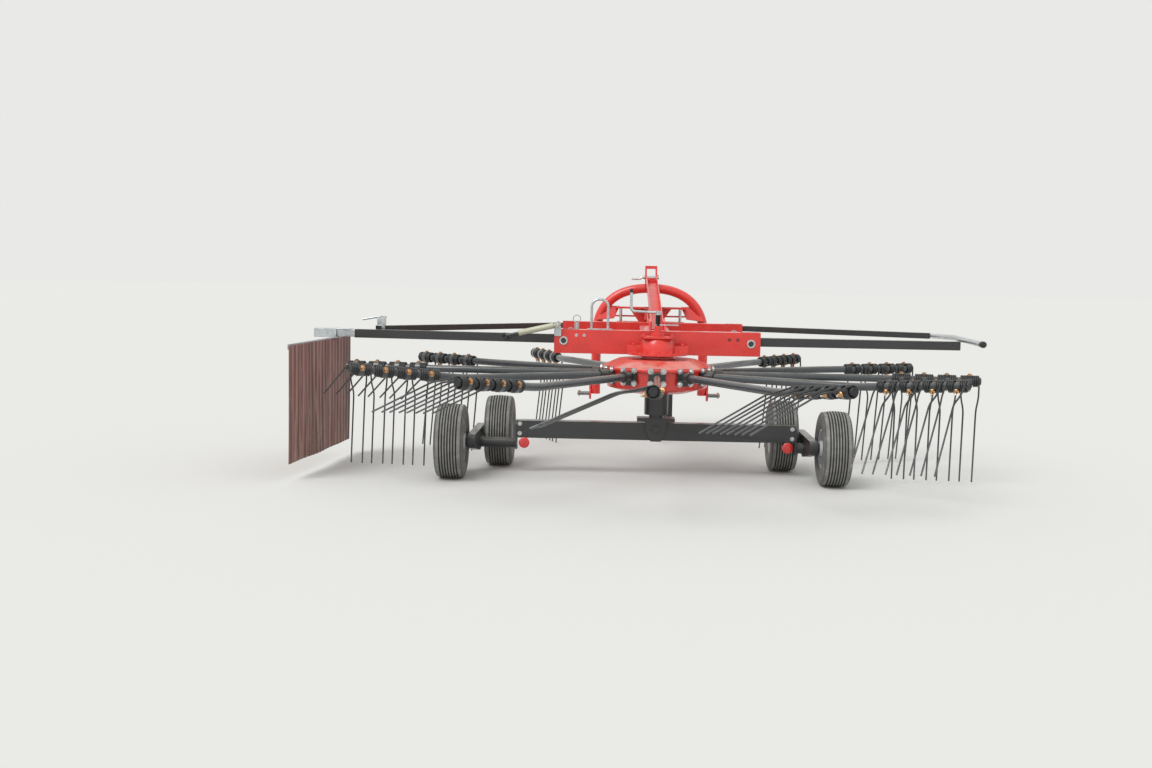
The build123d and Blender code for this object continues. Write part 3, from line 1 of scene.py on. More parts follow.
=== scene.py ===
"""Finish and fine pieces of a single-rotor rotary rake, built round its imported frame.

Lengths are in metres in the frame's own axes: X to the right seen from behind, Y forward, Z up. Outlines
held as fields are in millimetres, each point as its place along an axis and its distance from it.
"""

import json
import logging
from dataclasses import dataclass
from enum import Enum
from math import cos, pi, radians, sin

import bmesh
import bpy
import numpy as np
from mathutils import Matrix, Vector


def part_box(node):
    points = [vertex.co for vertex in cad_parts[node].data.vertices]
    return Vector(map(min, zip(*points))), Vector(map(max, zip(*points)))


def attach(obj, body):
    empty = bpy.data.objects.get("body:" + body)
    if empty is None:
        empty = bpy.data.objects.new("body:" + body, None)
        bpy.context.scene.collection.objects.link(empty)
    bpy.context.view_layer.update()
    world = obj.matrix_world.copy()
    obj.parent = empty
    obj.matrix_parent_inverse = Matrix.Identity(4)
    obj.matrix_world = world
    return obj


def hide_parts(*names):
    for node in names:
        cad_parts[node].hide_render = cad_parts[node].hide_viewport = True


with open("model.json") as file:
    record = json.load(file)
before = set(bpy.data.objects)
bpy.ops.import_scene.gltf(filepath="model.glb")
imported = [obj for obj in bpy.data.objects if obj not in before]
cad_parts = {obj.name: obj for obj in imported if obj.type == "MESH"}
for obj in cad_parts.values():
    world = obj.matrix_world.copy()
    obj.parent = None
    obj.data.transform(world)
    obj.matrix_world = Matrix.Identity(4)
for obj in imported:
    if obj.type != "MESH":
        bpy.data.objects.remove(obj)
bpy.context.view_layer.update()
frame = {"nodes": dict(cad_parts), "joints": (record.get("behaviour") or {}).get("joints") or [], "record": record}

MM = 0.001
RIGHT, FORWARD, UP = np.eye(3)
ORIGIN = np.zeros(3)
LOG = logging.getLogger("rake")
JOINTS = {joint["name"]: joint for joint in frame["joints"]}
BODY_OF = {node: body for body, nodes in frame["record"]["behaviour"]["bodies"].items() for node in nodes}
ROTOR = np.array(JOINTS["rotor_spin"]["pos_m"])
ARMS = 12
FIRST_ARM = -1.5
# An axis whose upward share is over this counts as upright
STEEP = 0.9
# A bolt's washer by its head and width across the flats, the chamfer's share, and how deep it sits
WASHER_HIGH, WASHER_WIDE, CHAMFER = 0.22, 0.95, 0.86
SEAT = 0.3 * MM

Socket = bpy.types.NodeSocket
SMOOTH = {"interpolation_type": "SMOOTHSTEP"}
COLOURS = {"data_type": "RGBA"}


def linear(code: str, times: float = 1.0) -> tuple[float, float, float, float]:
    """Linear colour of an sRGB hex code.

    Args:
        code: the colour as #RRGGBB.
        times: what each channel is multiplied by, up to full.

    Returns:
        Red, green, blue and an alpha of 1, in linear light.
    """
    channels = np.array([int(code[start:start + 2], 16) for start in (1, 3, 5)]) / 255
    straight = np.where(channels <= 0.04045, channels / 12.92, ((channels + 0.055) / 1.055) ** 2.4)
    return (*np.minimum(straight * times, 1.0).tolist(), 1.0)


def set_sockets(node: bpy.types.Node, sockets: dict) -> None:
    """Give each input, by name or number, its value or the output that feeds it.

    Args:
        node: the node.
        sockets: values and outputs by input.
    """
    for key, value in sockets.items():
        if isinstance(value, Socket):
            node.id_data.links.new(value, node.inputs[key])
        else:
            node.inputs[key].default_value = value


def add_node(tree: bpy.types.NodeTree, kind: str, sockets: dict | None = None,
             **settings) -> bpy.types.NodeOutputs:
    """Add one shader node with its settings and links.

    Args:
        tree: the node tree.
        kind: the node's type name after ShaderNode.
        sockets: for each input, by name or number, a value or the output that feeds it.
        settings: attributes of the node itself.

    Returns:
        The new node's outputs.
    """
    node = tree.nodes.new("ShaderNode" + kind)
    for key, value in settings.items():
        setattr(node, key, value)
    set_sockets(node, sockets or {})
    return node.outputs


def clouds(place: Socket, size: float, low: float, high: float, to_low: float = 0.0, to_high: float = 1.0,
           detail: float = 4.0, rough: float = 0.5) -> Socket:
    """Soft blotches: noise whose values from low to high are carried smoothly onto another range.

    Args:
        place: the coordinates that the noise lies on.
        size: about how large a blotch is, in metres.
        low: noise under this gives to_low.
        high: noise over this gives to_high.
        to_low: one end of the range.
        to_high: its other end.
        detail: how many finer noises lie on the first.
        rough: how strong the finer noises are.

    Returns:
        The output with the value.
    """
    sockets = {"Vector": place, "Scale": 1 / size, "Detail": detail, "Roughness": rough}
    noise = add_node(place.id_data, "TexNoise", sockets)[0]
    return add_node(place.id_data, "MapRange", {0: noise, 1: low, 2: high, 3: to_low, 4: to_high}, **SMOOTH)[0]


def relief(place: Socket, size: float, deep: float, detail: float = 2.0) -> Socket:
    """Normal of an uneven surface.

    Args:
        place: the coordinates that the noise lies on.
        size: about how far its bumps are apart, in metres.
        deep: metres from its lowest to its highest.
        detail: how many finer noises lie on the first.

    Returns:
        The output with the normal.
    """
    noise = add_node(place.id_data, "TexNoise", {"Vector": place, "Scale": 1 / size, "Detail": detail})[0]
    return add_node(place.id_data, "Bump", {"Height": noise, "Distance": deep})[0]


@dataclass(frozen=True)
class Finish:
    """One real material. Subclasses give the values and patterns of its shader."""

    name: str

    def material(self) -> bpy.types.Material:
        """The Blender material, made the first time that it is asked for.

        Returns:
            The material with this finish's name.
        """
        made = bpy.data.materials.get(self.name)
        if made is None:
            made = bpy.data.materials.new(self.name)
            made.use_nodes = True
            place = add_node(made.node_tree, "TexCoord")["Object"]
            set_sockets(made.node_tree.nodes["Principled BSDF"], self.sockets(place))
        return made

    def sockets(self, place: Socket) -> dict:
        """What feeds the shader's sockets, from the piece's Object coordinates."""
        raise NotImplementedError


@dataclass(frozen=True)
class PaintedSteel(Finish):
    """Powder coat on steel: a level film with slight orange peel, thin dust lying on what faces up."""

    colour: str = "#808080"
    rough: float = 0.3
    coat: float = 0.3
    peel: float = 9 * MM
    peel_deep: float = 0.12 * MM
    dust: str = "#B7AE98"
    dusty: float = 0.18

    def sockets(self, place: Socket) -> dict:
        """Cloudy shade of a few per cent, orange peel, and dust by how far the surface looks up.

        Args:
            place: the piece's Object coordinates.

        Returns:
            What feeds each socket, by its name.
        """
        tree = place.id_data
        cloud = clouds(place, 220 * MM, 0.35, 0.65)
        shade = add_node(tree, "Mix", {0: cloud, 6: linear(self.colour, 0.86), 7: linear(self.colour)}, **COLOURS)[2]
        upward = add_node(tree, "SeparateXYZ", {0: add_node(tree, "NewGeometry")["Normal"]})["Z"]
        level = add_node(tree, "MapRange", {0: upward, 1: 0.35}, **SMOOTH)[0]
        patches = clouds(place, 70 * MM, 0.2, 0.8, 0.0, self.dusty, 3)
        film = add_node(tree, "Math", {0: level, 1: patches}, operation="MULTIPLY")[0]
        return {
            "Base Color": add_node(tree, "Mix", {0: film, 6: shade, 7: linear(self.dust)}, **COLOURS)[2],
            "Roughness": clouds(place, 50 * MM, 0.3, 0.7, self.rough * 0.85, self.rough * 1.2),
            "Coat Weight": self.coat,
            "Coat Roughness": 0.12,
            "Normal": relief(place, self.peel, self.peel_deep),
        }


@dataclass(frozen=True)
class ZincDipped(Finish):
    """Hot-dip galvanised steel: bright zinc in frost-like spangles that differ in shade and gloss."""

    light: str = "#CDD1D3"
    dark: str = "#B4B9BC"
    bloom: str = "#C6CACB"
    spangle: float = 14 * MM
    rough: float = 0.36

    def sockets(self, place: Socket) -> dict:
        """One shade and one gloss for each spangle, with a cloudy white bloom.

        Args:
            place: the piece's Object coordinates.

        Returns:
            What feeds each socket, by its name.
        """
        tree = place.id_data
        cells = add_node(tree, "TexVoronoi", {"Vector": place, "Scale": 1 / self.spangle})["Color"]
        grain = add_node(tree, "SeparateColor", {0: cells})
        shade = add_node(tree, "Mix", {0: grain[0], 6: linear(self.dark), 7: linear(self.light)}, **COLOURS)[2]
        bloom = clouds(place, 60 * MM, 0.5, 0.8, 0.0, 0.35, 5, 0.6)
        gloss = {0: grain[1], 3: self.rough * 0.8, 4: self.rough * 1.3}
        return {
            "Base Color": add_node(tree, "Mix", {0: bloom, 6: shade, 7: linear(self.bloom)}, **COLOURS)[2],
            "Roughness": add_node(tree, "MapRange", gloss, **SMOOTH)[0],
            "Metallic": 1.0,
            "Normal": relief(place, 20 * MM, 0.15 * MM, 3),
        }


@dataclass(frozen=True)
class BareMetal(Finish):
    """Machined or electroplated metal: even colour, fine haze and small scuffs."""

    colour: str = "#C4C7C8"
    rough: float = 0.28

    def sockets(self, place: Socket) -> dict:
        """Metal with a haze that varies over a few centimetres.

        Args:
            place: the piece's Object coordinates.

        Returns:
            What feeds each socket, by its name.
        """
        tree = place.id_data
        haze = clouds(place, 18 * MM, 0.35, 0.7, detail=5, rough=0.6)
        shades = {0: haze, 6: linear(self.colour), 7: linear(self.colour, 0.72)}
        return {
            "Base Color": add_node(tree, "Mix", shades, **COLOURS)[2],
            "Roughness": add_node(tree, "MapRange", {0: haze, 3: self.rough * 0.8, 4: self.rough * 1.5}, **SMOOTH)[0],
            "Metallic": 1.0,
            "Normal": relief(place, 4 * MM, 0.05 * MM),
        }


@dataclass(frozen=True)
class SpringSteel(Finish):
    """Black lacquered spring wire, rubbed bright by the crop towards the tips of its prongs."""

    colour: str = "#2A2B2C"
    worn: str = "#77787A"

    def sockets(self, place: Socket) -> dict:
        """Lacquer to bare steel by the attribute of wear, which on a tine holds only its wear, broken up by noise.

        Args:
            place: the piece's Object coordinates.

        Returns:
            What feeds each socket, by its name.
        """
        tree = place.id_data
        wear = add_node(tree, "Attribute", attribute_name="wear")["Fac"]
        patches = clouds(place, 9 * MM, 0.3, 0.6, rough=0.7)
        torn = add_node(tree, "Math", {0: wear, 1: patches}, operation="MULTIPLY")[0]
        shades = {0: torn, 6: linear(self.colour), 7: linear(self.worn)}
        return {
            "Base Color": add_node(tree, "Mix", shades, **COLOURS)[2],
            "Metallic": torn,
            "Roughness": add_node(tree, "MapRange", {0: torn, 3: 0.36, 4: 0.3}, **SMOOTH)[0],
            "Normal": relief(place, 3 * MM, 0.08 * MM, 3),
        }


@dataclass(frozen=True)
class TyreRubber(Finish):
    """Vulcanised black rubber, greyed by field dust where the ribs touch the ground, with painted shade that darkens
    the grooves.
    """

    colour: str = "#646462"
    dust: str = "#C8C6BF"
    # Colour of the painted shade in the grooves, of which the sidewalls get a share
    groove: str = "#2C2C2B"

    def sockets(self, place: Socket) -> dict:
        """Rubber with a fine grain under a patchy dust film, which is thinner in the grooves, and painted shade that
        takes the grooves towards the groove colour.

        Args:
            place: the piece's Object coordinates.

        Returns:
            What feeds each socket, by its name.
        """
        tree = place.id_data
        groove = add_node(tree, "Attribute", attribute_name="wear")["Fac"]
        film = clouds(place, 50 * MM, 0.35, 0.8, 0.1, 0.4, 6, 0.65)
        film = add_node(tree, "Math", {0: groove, 1: -0.5, 2: film}, operation="MULTIPLY_ADD")[0]
        shade = add_node(tree, "Mix", {0: film, 6: linear(self.colour), 7: linear(self.dust)}, **COLOURS)[2]
        return {
            # Painted shade: the deeper a point lies in a groove, the nearer it goes to the groove colour
            "Base Color": add_node(tree, "Mix", {0: groove, 6: shade, 7: linear(self.groove)}, **COLOURS)[2],
            "Roughness": add_node(tree, "MapRange", {0: film, 3: 0.55, 4: 0.9}, **SMOOTH)[0],
            "Normal": relief(place, 2.5 * MM, 0.2 * MM, 3),
        }


@dataclass(frozen=True)
class CoatedCloth(Finish):
    """Woven fabric with a rubbery maroon coat, streaked by the crop that brushes down it, with painted shade in the
    valleys between its ribs.
    """

    colour: str = "#9A615A"
    # Dark end of the cloudy tone, and the colour of the painted shade in the rib valleys
    deep: str = "#54322F"
    streak: str = "#CDC29C"
    thread: float = 18.85 * MM

    def sockets(self, place: Socket) -> dict:
        """Streaks run down the cloth, stronger towards its foot; the weave is drawn 19 mm apart, coarser than
        the real 1 mm, to show. A wave node at scale 1 repeats every 2 pi / 20.

        Args:
            place: the piece's Object coordinates.

        Returns:
            What feeds each socket, by its name.
        """
        tree = place.id_data
        down = add_node(tree, "Mapping", {"Vector": place, "Scale": (1.0, 1.0, 0.05)})[0]
        tone_and_shade = clouds(down, 50 * MM, 0.35, 0.65, rough=0.6)
        # Painted shade: the rib attribute is lower in the valleys, so the tone there goes to the dark colour
        rib_lit_share = add_node(tree, "Attribute", attribute_name="wear")["Fac"]
        tone_and_shade = add_node(tree, "Math", {0: tone_and_shade, 1: rib_lit_share}, operation="MULTIPLY", use_clamp=True)[0]
        shade = add_node(tree, "Mix", {0: tone_and_shade, 6: linear(self.deep), 7: linear(self.colour)}, **COLOURS)[2]
        marks = clouds(down, 14 * MM, 0.5, 0.7, 0.0, 0.6, 6, 0.7)
        height = add_node(tree, "SeparateXYZ", {0: place})["Z"]
        fade = add_node(tree, "MapRange", {0: height, 1: 0.75, 2: 0.2, 3: 0.5}, **SMOOTH)[0]
        marks = add_node(tree, "Math", {0: marks, 1: fade}, operation="MULTIPLY")[0]
        wave = {"Vector": place, "Scale": 2 * pi / 20 / self.thread}
        warp, weft = (add_node(tree, "TexWave", wave, bands_direction=way)[1] for way in "YZ")
        weave = add_node(tree, "Math", {0: warp, 1: weft}, operation="MAXIMUM")[0]
        return {
            "Base Color": add_node(tree, "Mix", {0: marks, 6: shade, 7: linear(self.streak)}, **COLOURS)[2],
            "Roughness": 0.62,
            "Sheen Weight": 0.15,
            "Normal": add_node(tree, "Bump", {"Height": weave, "Distance": 0.3 * MM, "Strength": 0.5})[0],
        }


@dataclass(frozen=True)
class MouldedPlastic(Finish):
    """Injection-moulded polyethylene with an eroded, slightly matt grain."""

    colour: str = "#1D1E20"
    rough: float = 0.48

    def sockets(self, place: Socket) -> dict:
        """Even colour greyed a little in clouds, fine grain in the relief.

        Args:
            place: the piece's Object coordinates.

        Returns:
            What feeds each socket, by its name.
        """
        tree = place.id_data
        haze = clouds(place, 50 * MM, 0.4, 0.7)
        shades = {0: haze, 6: linear(self.colour), 7: linear(self.colour, 1.5)}
        return {
            "Base Color": add_node(tree, "Mix", shades, **COLOURS)[2],
            "Roughness": add_node(tree, "MapRange", {0: haze, 3: self.rough, 4: self.rough * 1.25}, **SMOOTH)[0],
            "Normal": relief(place, 2 * MM, 0.1 * MM),
        }


@dataclass(frozen=True)
class PrismLens(Finish):
    """Red acrylic reflector: smooth outside, with rows of small cube corners that glitter behind it, and a faint
    painted glow of its own red.
    """

    colour: str = "#D8211F"
    prism: float = 4 * MM

    def sockets(self, place: Socket) -> dict:
        """Each prism has its own shade and tilt under a clear coat, and the lens gives off a little red light as a
        painted glow.

        Args:
            place: the piece's Object coordinates.

        Returns:
            What feeds each socket, by its name.
        """
        tree = place.id_data
        cells = {"Vector": place, "Scale": 1 / self.prism}
        grain = add_node(tree, "TexVoronoi", cells, distance="CHEBYCHEV")["Distance"]
        edge = add_node(tree, "MapRange", {0: grain, 1: 0.1, 2: 0.6}, **SMOOTH)[0]
        shades = {0: edge, 6: linear(self.colour), 7: linear(self.colour, 0.55)}
        return {
            "Base Color": add_node(tree, "Mix", shades, **COLOURS)[2],
            "Roughness": 0.22,
            "Coat Weight": 1.0,
            "Coat Roughness": 0.03,
            # Painted glow: the lens gives off light of its own red, though it is no lamp
            "Emission Color": linear(self.colour),
            "Emission Strength": 0.12,
            "Normal": add_node(tree, "Bump", {"Height": grain, "Distance": 1.5 * MM})[0],
        }


RED = PaintedSteel("red_powder_coat", "#D9362F", 0.27, 0.4, peel_deep=0.05 * MM)
RED_DUSTY = PaintedSteel("red_powder_coat_dusty", "#D9362F", 0.3, 0.6, peel_deep=0.05 * MM, dusty=0.4)
RED_CLEAN = PaintedSteel("red_powder_coat_clean", "#D9362F", 0.34, 0.2, peel_deep=0.01 * MM, dusty=0.04)
BLACK = PaintedSteel("black_powder_coat", "#313333", 0.34, 0.15, dusty=0.24)
# Lighter and bluer than the frame's black: black paint lifted by painted sky reflection on the arms and clips
ARM_BLACK = PaintedSteel("arm_powder_coat", "#3C4043", 0.28, 0.5, dusty=0.2)
RIM_SILVER = PaintedSteel("silver_wheel_enamel", "#C3C6C9", 0.36, 0.25, dusty=0.3)
STRUT_BEIGE = PaintedSteel("beige_cylinder_enamel", "#B3B39C", 0.34, 0.3)
ZINC = ZincDipped("hot_dip_galvanised_steel")
PLATED = BareMetal("zinc_plated_steel", "#D5D7D6", 0.27)
YELLOW_ZINC = BareMetal("yellow_passivated_zinc", "#D0A070", 0.32)
SHAFT_STEEL = BareMetal("oiled_machined_steel", "#8C8E90", 0.3)
TINE_STEEL = SpringSteel("black_spring_steel")
RUBBER = TyreRubber("vulcanised_rubber")
CLOTH = CoatedCloth("maroon_coated_cloth")
PLASTIC = MouldedPlastic("black_moulded_polyethylene")
LENS = PrismLens("red_acrylic_reflector")


class Slot(Enum):
    """Material slots of the record, one given with each new piece."""

    RED = "red_paint"
    DARK = "dark_paint"
    ZINC = "galvanised"
    BRIGHT = "rod_steel"
    TYRE = "tyre_rubber"
    CLOTH = "cloth"
    PLASTIC = "plastic"
    LENS = "reflector_red"


class Bolt(Enum):
    """Bolts and nuts by where they sit, in millimetres: size across the flats and height of the head."""

    WHEEL = (21, 16)
    TINE = (17, 8)
    ARM = (18, 10)
    GEARBOX = (17, 10)
    BEAM = (10, 6)
    AXLE = (13, 9)
    PIVOT = (46, 20)
    CLAMP = (19, 8)


def mm(rows: tuple) -> np.ndarray:
    """Points given in millimetres, as metres."""
    return np.array(rows, float) * MM


def unit(rows: np.ndarray) -> np.ndarray:
    """Rows scaled to length 1."""
    return rows / np.linalg.norm(rows, axis=-1, keepdims=True)


def middle(node: str) -> np.ndarray:
    """Centre of a CAD node's box."""
    return (np.array(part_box(node)[0]) + np.array(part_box(node)[1])) / 2


def ring(radius: float, sides: int, turn: float = 0.0) -> np.ndarray:
    """Closed circle as flat points: radius times cosine and sine of evenly spaced angles."""
    angle = np.arange(sides) * 2 * pi / sides + turn
    return radius * np.stack([np.cos(angle), np.sin(angle)], axis=-1)


def carried(profile: np.ndarray, path: np.ndarray, across: np.ndarray) -> np.ndarray:
    """Grid of a flat profile carried along a path.

    Each point is the path's point, plus the profile's first coordinate along the unit cross product of
    tangent and across, plus its second along the direction square to both.

    Args:
        profile: points as (count, 2).
        path: points as (rows, 3).
        across: a direction that the path never runs along.

    Returns:
        Points as (rows, count, 3).
    """
    tangent = unit(np.gradient(path, axis=0))
    side = unit(np.cross(tangent, across))
    up = np.cross(side, tangent)
    return path[:, None] + profile[:, :1] * side[:, None] + profile[:, 1:] * up[:, None]


def turned(outline: np.ndarray, centre: np.ndarray, axis: np.ndarray, sides: int) -> np.ndarray:
    """Grid of an outline turned about an axis.

    Each point is the centre, plus the outline's first coordinate along the axis, plus its second as a
    radius in the direction given by the cosine and sine of the turn.

    Args:
        outline: points as (count, 2), along the axis and away from it.
        centre: a point on the axis.
        axis: the axis's direction.
        sides: the number of steps round the axis.

    Returns:
        Points as (count, sides, 3).
    """
    axis = unit(axis)
    first = unit(np.cross(UP if abs(axis[2]) < STEEP else RIGHT, axis))
    spoke = ring(1.0, sides) @ np.array([first, np.cross(axis, first)])
    along = centre + outline[:, :1] * axis
    return along[:, None] + outline[:, 1:, None] * spoke[None]


def rounded_path(corners: list, radius: float, steps: int) -> np.ndarray:
    """Path through corners with each inner one rounded.

    A corner's curve is the quadratic one whose middle control point is the corner and whose ends lie
    radius from it on both runs.

    Args:
        corners: the corner points.
        radius: how far from its corner a curve starts.
        steps: points on each curve.

    Returns:
        Points as (rows, 3).
    """
    corner = np.array(corners, float)
    before = corner[1:-1] + radius * unit(corner[:-2] - corner[1:-1])
    after = corner[1:-1] + radius * unit(corner[2:] - corner[1:-1])
    share = np.linspace(0, 1, steps)[None, :, None]
    curve = ((1 - share) ** 2 * before[:, None] + 2 * share * (1 - share) * corner[1:-1, None]
             + share ** 2 * after[:, None])
    return np.concatenate([corner[:1], curve.reshape(-1, 3), corner[-1:]])


def placing(origin: np.ndarray, along: np.ndarray, up: np.ndarray) -> np.ndarray:
    """Frame as a 4 by 4 matrix: its X runs along, its Z is up made square to that.

    Args:
        origin: where it sits.
        along: its X, of any length.
        up: a direction on the side of its Z.

    Returns:
        The matrix.
    """
    x_way = unit(np.asarray(along, float))
    y_way = unit(np.cross(up, x_way))
    made = np.eye(4)
    made[:3, :4] = np.stack([x_way, y_way, np.cross(x_way, y_way), np.asarray(origin, float)], axis=1)
    return made


def facing(points: np.ndarray, way: np.ndarray) -> np.ndarray:
    """Frames at points, whose X looks along way.

    Args:
        points: points as (count, 3).
        way: the direction.

    Returns:
        Matrices as (count, 4, 4).
    """
    frames = np.tile(placing(ORIGIN, way, FORWARD if abs(unit(way)[2]) > STEEP else UP), (len(points), 1, 1))
    frames[:, :3, 3] = points
    return frames


def arm_ways(number: int) -> tuple[np.ndarray, np.ndarray]:
    """Level directions outwards along an arm and square to it, by its number round the rotor."""
    turn = radians(FIRST_ARM + number * 360 / ARMS)
    return np.array([cos(turn), sin(turn), 0]), np.array([-sin(turn), cos(turn), 0])


def put(name: str, data: bpy.types.ID) -> bpy.types.Object:
    """Link a new object at the scene's origin.

    Args:
        name: its name.
        data: its mesh, light or camera.

    Returns:
        The object.
    """
    made = bpy.data.objects.new(name, data)
    bpy.context.scene.collection.objects.link(made)
    return made


def crease_edges(mesh: bpy.types.Mesh, angle: float) -> None:
    """Shade smooth, and keep edges sharper than an angle in degrees."""
    mesh.polygons.foreach_set("use_smooth", np.ones(len(mesh.polygons), bool))
    mesh.set_sharp_from_angle(angle=radians(angle))


def ease_edges(made: bpy.types.Object, width: float, angle: float) -> None:
    """Round the edges sharper than an angle.

    Args:
        made: the piece.
        width: width of the bevel in metres.
        angle: the least angle in degrees.
    """
    edge = made.modifiers.new("eased edges", "BEVEL")
    edge.width = width
    edge.segments = 2
    edge.limit_method = "ANGLE"
    edge.angle_limit = radians(angle)
    edge.harden_normals = True


def mount(made: bpy.types.Object, body: str, nodes: tuple = ()) -> None:
    """Let a piece ride on its body.

    Args:
        made: the piece.
        body: the CAD body.
        nodes: the CAD nodes that it stands for.
    """
    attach(made, body)
    if nodes:
        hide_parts(*nodes)
    LOG.info("%s: %d faces on %s", made.name, len(made.data.polygons), body)


class Skin:
    """Surfaces worked out as grids, gathered into one mesh with a finish for each."""

    def __init__(self) -> None:
        """Start empty."""
        self.points: list[np.ndarray] = []
        self.faces: list[np.ndarray] = []
        self.marks: list[np.ndarray] = []
        self.wear: list[np.ndarray] = []
        self.finishes: list[Finish] = []
        self.count = 0

    def _mark(self, finish: Finish) -> int:
        """Number a finish in this skin.

        Args:
            finish: the finish, new or known.

        Returns:
            Its number.
        """
        if finish not in self.finishes:
            self.finishes.append(finish)
        return self.finishes.index(finish)

    def grid(self, points: np.ndarray, finish: Finish, around: bool = True, looped: bool = False,
             capped: bool = True, wear: np.ndarray | float = 0.0) -> None:
        """Add a grid of points as quads.

        Args:
            points: points as (rows, columns, 3).
            finish: what it is made of.
            around: whether the last column joins the first.
            looped: whether the last row joins the first.
            capped: whether the first and last row are closed by a face.
            wear: the attribute of wear on the tines, and of groove depth and rib height that drive painted shade on
                the tyres and cloth, one value or what spreads over the grid.
        """
        rows, columns = points.shape[:2]
        index = np.arange(rows * columns).reshape(rows, columns) + self.count
        turn = np.concatenate([index, index[:, :1]], axis=1) if around else index
        turn = np.concatenate([turn, turn[:1]]) if looped else turn
        quads = np.stack([turn[:-1, :-1], turn[:-1, 1:], turn[1:, 1:], turn[1:, :-1]], axis=-1).reshape(-1, 4)
        caps = [index[:1, ::-1], index[-1:]] if capped and around and not looped else []
        self.points.append(points.reshape(-1, 3))
        self.wear.append(np.broadcast_to(np.asarray(wear, float), (rows, columns)).reshape(-1))
        for block in [quads, *caps]:
            self.faces.append(block)
            self.marks.append(np.full(len(block), self._mark(finish)))
        self.count += rows * columns

    def lathe(self, outline: np.ndarray, centre: np.ndarray, axis: np.ndarray, sides: int, finish: Finish,
              **options) -> None:
        """Add an outline turned about an axis, with any options of a grid."""
        self.grid(turned(outline, centre, axis, sides), finish, **options)

    def rod(self, path: np.ndarray, radius: float, finish: Finish, sides: int = 14) -> None:
        """Add a round bar: a circle carried along a path, square to the axis that the path follows least.

        Args:
            path: points as (rows, 3).
            radius: the bar's radius.
            finish: what it is made of.
            sides: the number of its flat sides.
        """
        runs = unit(np.diff(path, axis=0))
        spare = min(np.eye(3), key=lambda axis: np.abs(runs @ axis).max())
        self.grid(carried(ring(radius, sides), path, spare), finish)

    def plate(self, outline: list, thick: float, finish: Finish, place: np.ndarray) -> None:
        """Add a flat plate.

        Args:
            outline: points in the frame's X and Y.
            thick: how far it is raised from the frame's Z = 0.
            finish: what it is made of.
            place: its frame.
        """
        corner = np.array(outline, float)
        flat = np.broadcast_to(corner, (2, *corner.shape))
        level = np.broadcast_to(np.array([0.0, thick])[:, None, None], (2, len(corner), 1))
        self.grid(np.concatenate([flat, level], axis=-1) @ place[:3, :3].T + place[:3, 3], finish)

    def stamp(self, other: "Skin", frames: np.ndarray) -> None:
        """Add a copy of another skin in each frame: every point is turned and moved by the frame's matrix.

        Args:
            other: the skin to copy.
            frames: matrices as (count, 4, 4), or one.
        """
        frames = frames.reshape(-1, 4, 4)
        local = np.concatenate(other.points)
        placed = np.einsum("fij,pj->fpi", frames[:, :3, :3], local) + frames[:, None, :3, 3]
        offset = (np.arange(len(frames)) * len(local) + self.count)[:, None, None]
        renamed = np.array([self._mark(finish) for finish in other.finishes])
        for block, marks in zip(other.faces, other.marks):
            self.faces.append((block[None] + offset).reshape(-1, block.shape[1]))
            self.marks.append(np.tile(renamed[marks], len(frames)))
        self.points.append(placed.reshape(-1, 3))
        self.wear.append(np.tile(np.concatenate(other.wear), len(frames)))
        self.count += len(frames) * len(local)

    def bolts(self, size: Bolt, points: np.ndarray, way: np.ndarray, finish: Finish = PLATED) -> None:
        """Add a hexagon head on a round washer at each point.

        The head's corner radius is across / 2 / cos 30 degrees, and its top is chamfered.

        Args:
            size: which bolt.
            points: where the bolts sit.
            way: where they look.
            finish: what they are made of.
        """
        bolt = Skin()
        across, head = mm(size.value)
        washer, wide = head * WASHER_HIGH, across * WASHER_WIDE
        corner = across / 2 / cos(radians(30))
        disc = np.array([[-SEAT, wide], [washer, wide]])
        sides = np.array([[washer - SEAT, corner], [washer + head * CHAMFER, corner],
                          [washer + head, corner * CHAMFER]])
        bolt.lathe(disc, ORIGIN, RIGHT, 16, finish)
        bolt.lathe(sides, ORIGIN, RIGHT, 6, finish)
        self.stamp(bolt, facing(points, way))

    def piece(self, name: str, body: str, slot: Slot, replaces: tuple = (), crease: float = 38.0,
              ease: float = 0.0) -> bpy.types.Object:
        """Make the mesh and its object, and let it ride on a body.

        Args:
            name: the piece's name.
            body: the CAD body that it rides on.
            slot: the record's material slot; not used.
            replaces: the CAD nodes that it stands for.
            crease: edges sharper than this many degrees stay sharp.
            ease: width of the bevel on sharp edges, or 0 for none.

        Returns:
            The new object.
        """
        mesh = bpy.data.meshes.new(name)
        points = np.concatenate(self.points)
        corner_counts = np.concatenate([np.full(len(block), block.shape[1]) for block in self.faces])
        mesh.vertices.add(len(points))
        mesh.vertices.foreach_set("co", points.astype(np.float32).ravel())
        corners = np.concatenate([block.ravel() for block in self.faces])
        mesh.loops.add(len(corners))
        mesh.loops.foreach_set("vertex_index", corners.astype(np.int32))
        mesh.polygons.add(len(corner_counts))
        starts = np.concatenate([[0], np.cumsum(corner_counts)[:-1]])
        mesh.polygons.foreach_set("loop_start", starts.astype(np.int32))
        mesh.polygons.foreach_set("material_index", np.concatenate(self.marks).astype(np.int32))
        for finish in self.finishes:
            mesh.materials.append(finish.material())
        # The attribute holds wear on the tines, and what drives painted shade on the tyres and cloth
        wear = mesh.attributes.new("wear", "FLOAT", "POINT")
        wear.data.foreach_set("value", np.concatenate(self.wear).astype(np.float32))
        mesh.update(calc_edges=True)
        shell = bmesh.new()
        shell.from_mesh(mesh)
        bmesh.ops.recalc_face_normals(shell, faces=shell.faces)
        shell.to_mesh(mesh)
        shell.free()
        crease_edges(mesh, crease)
        made = put(name, mesh)
        if ease:
            ease_edges(made, ease, crease)
        mount(made, body, replaces)
        return made


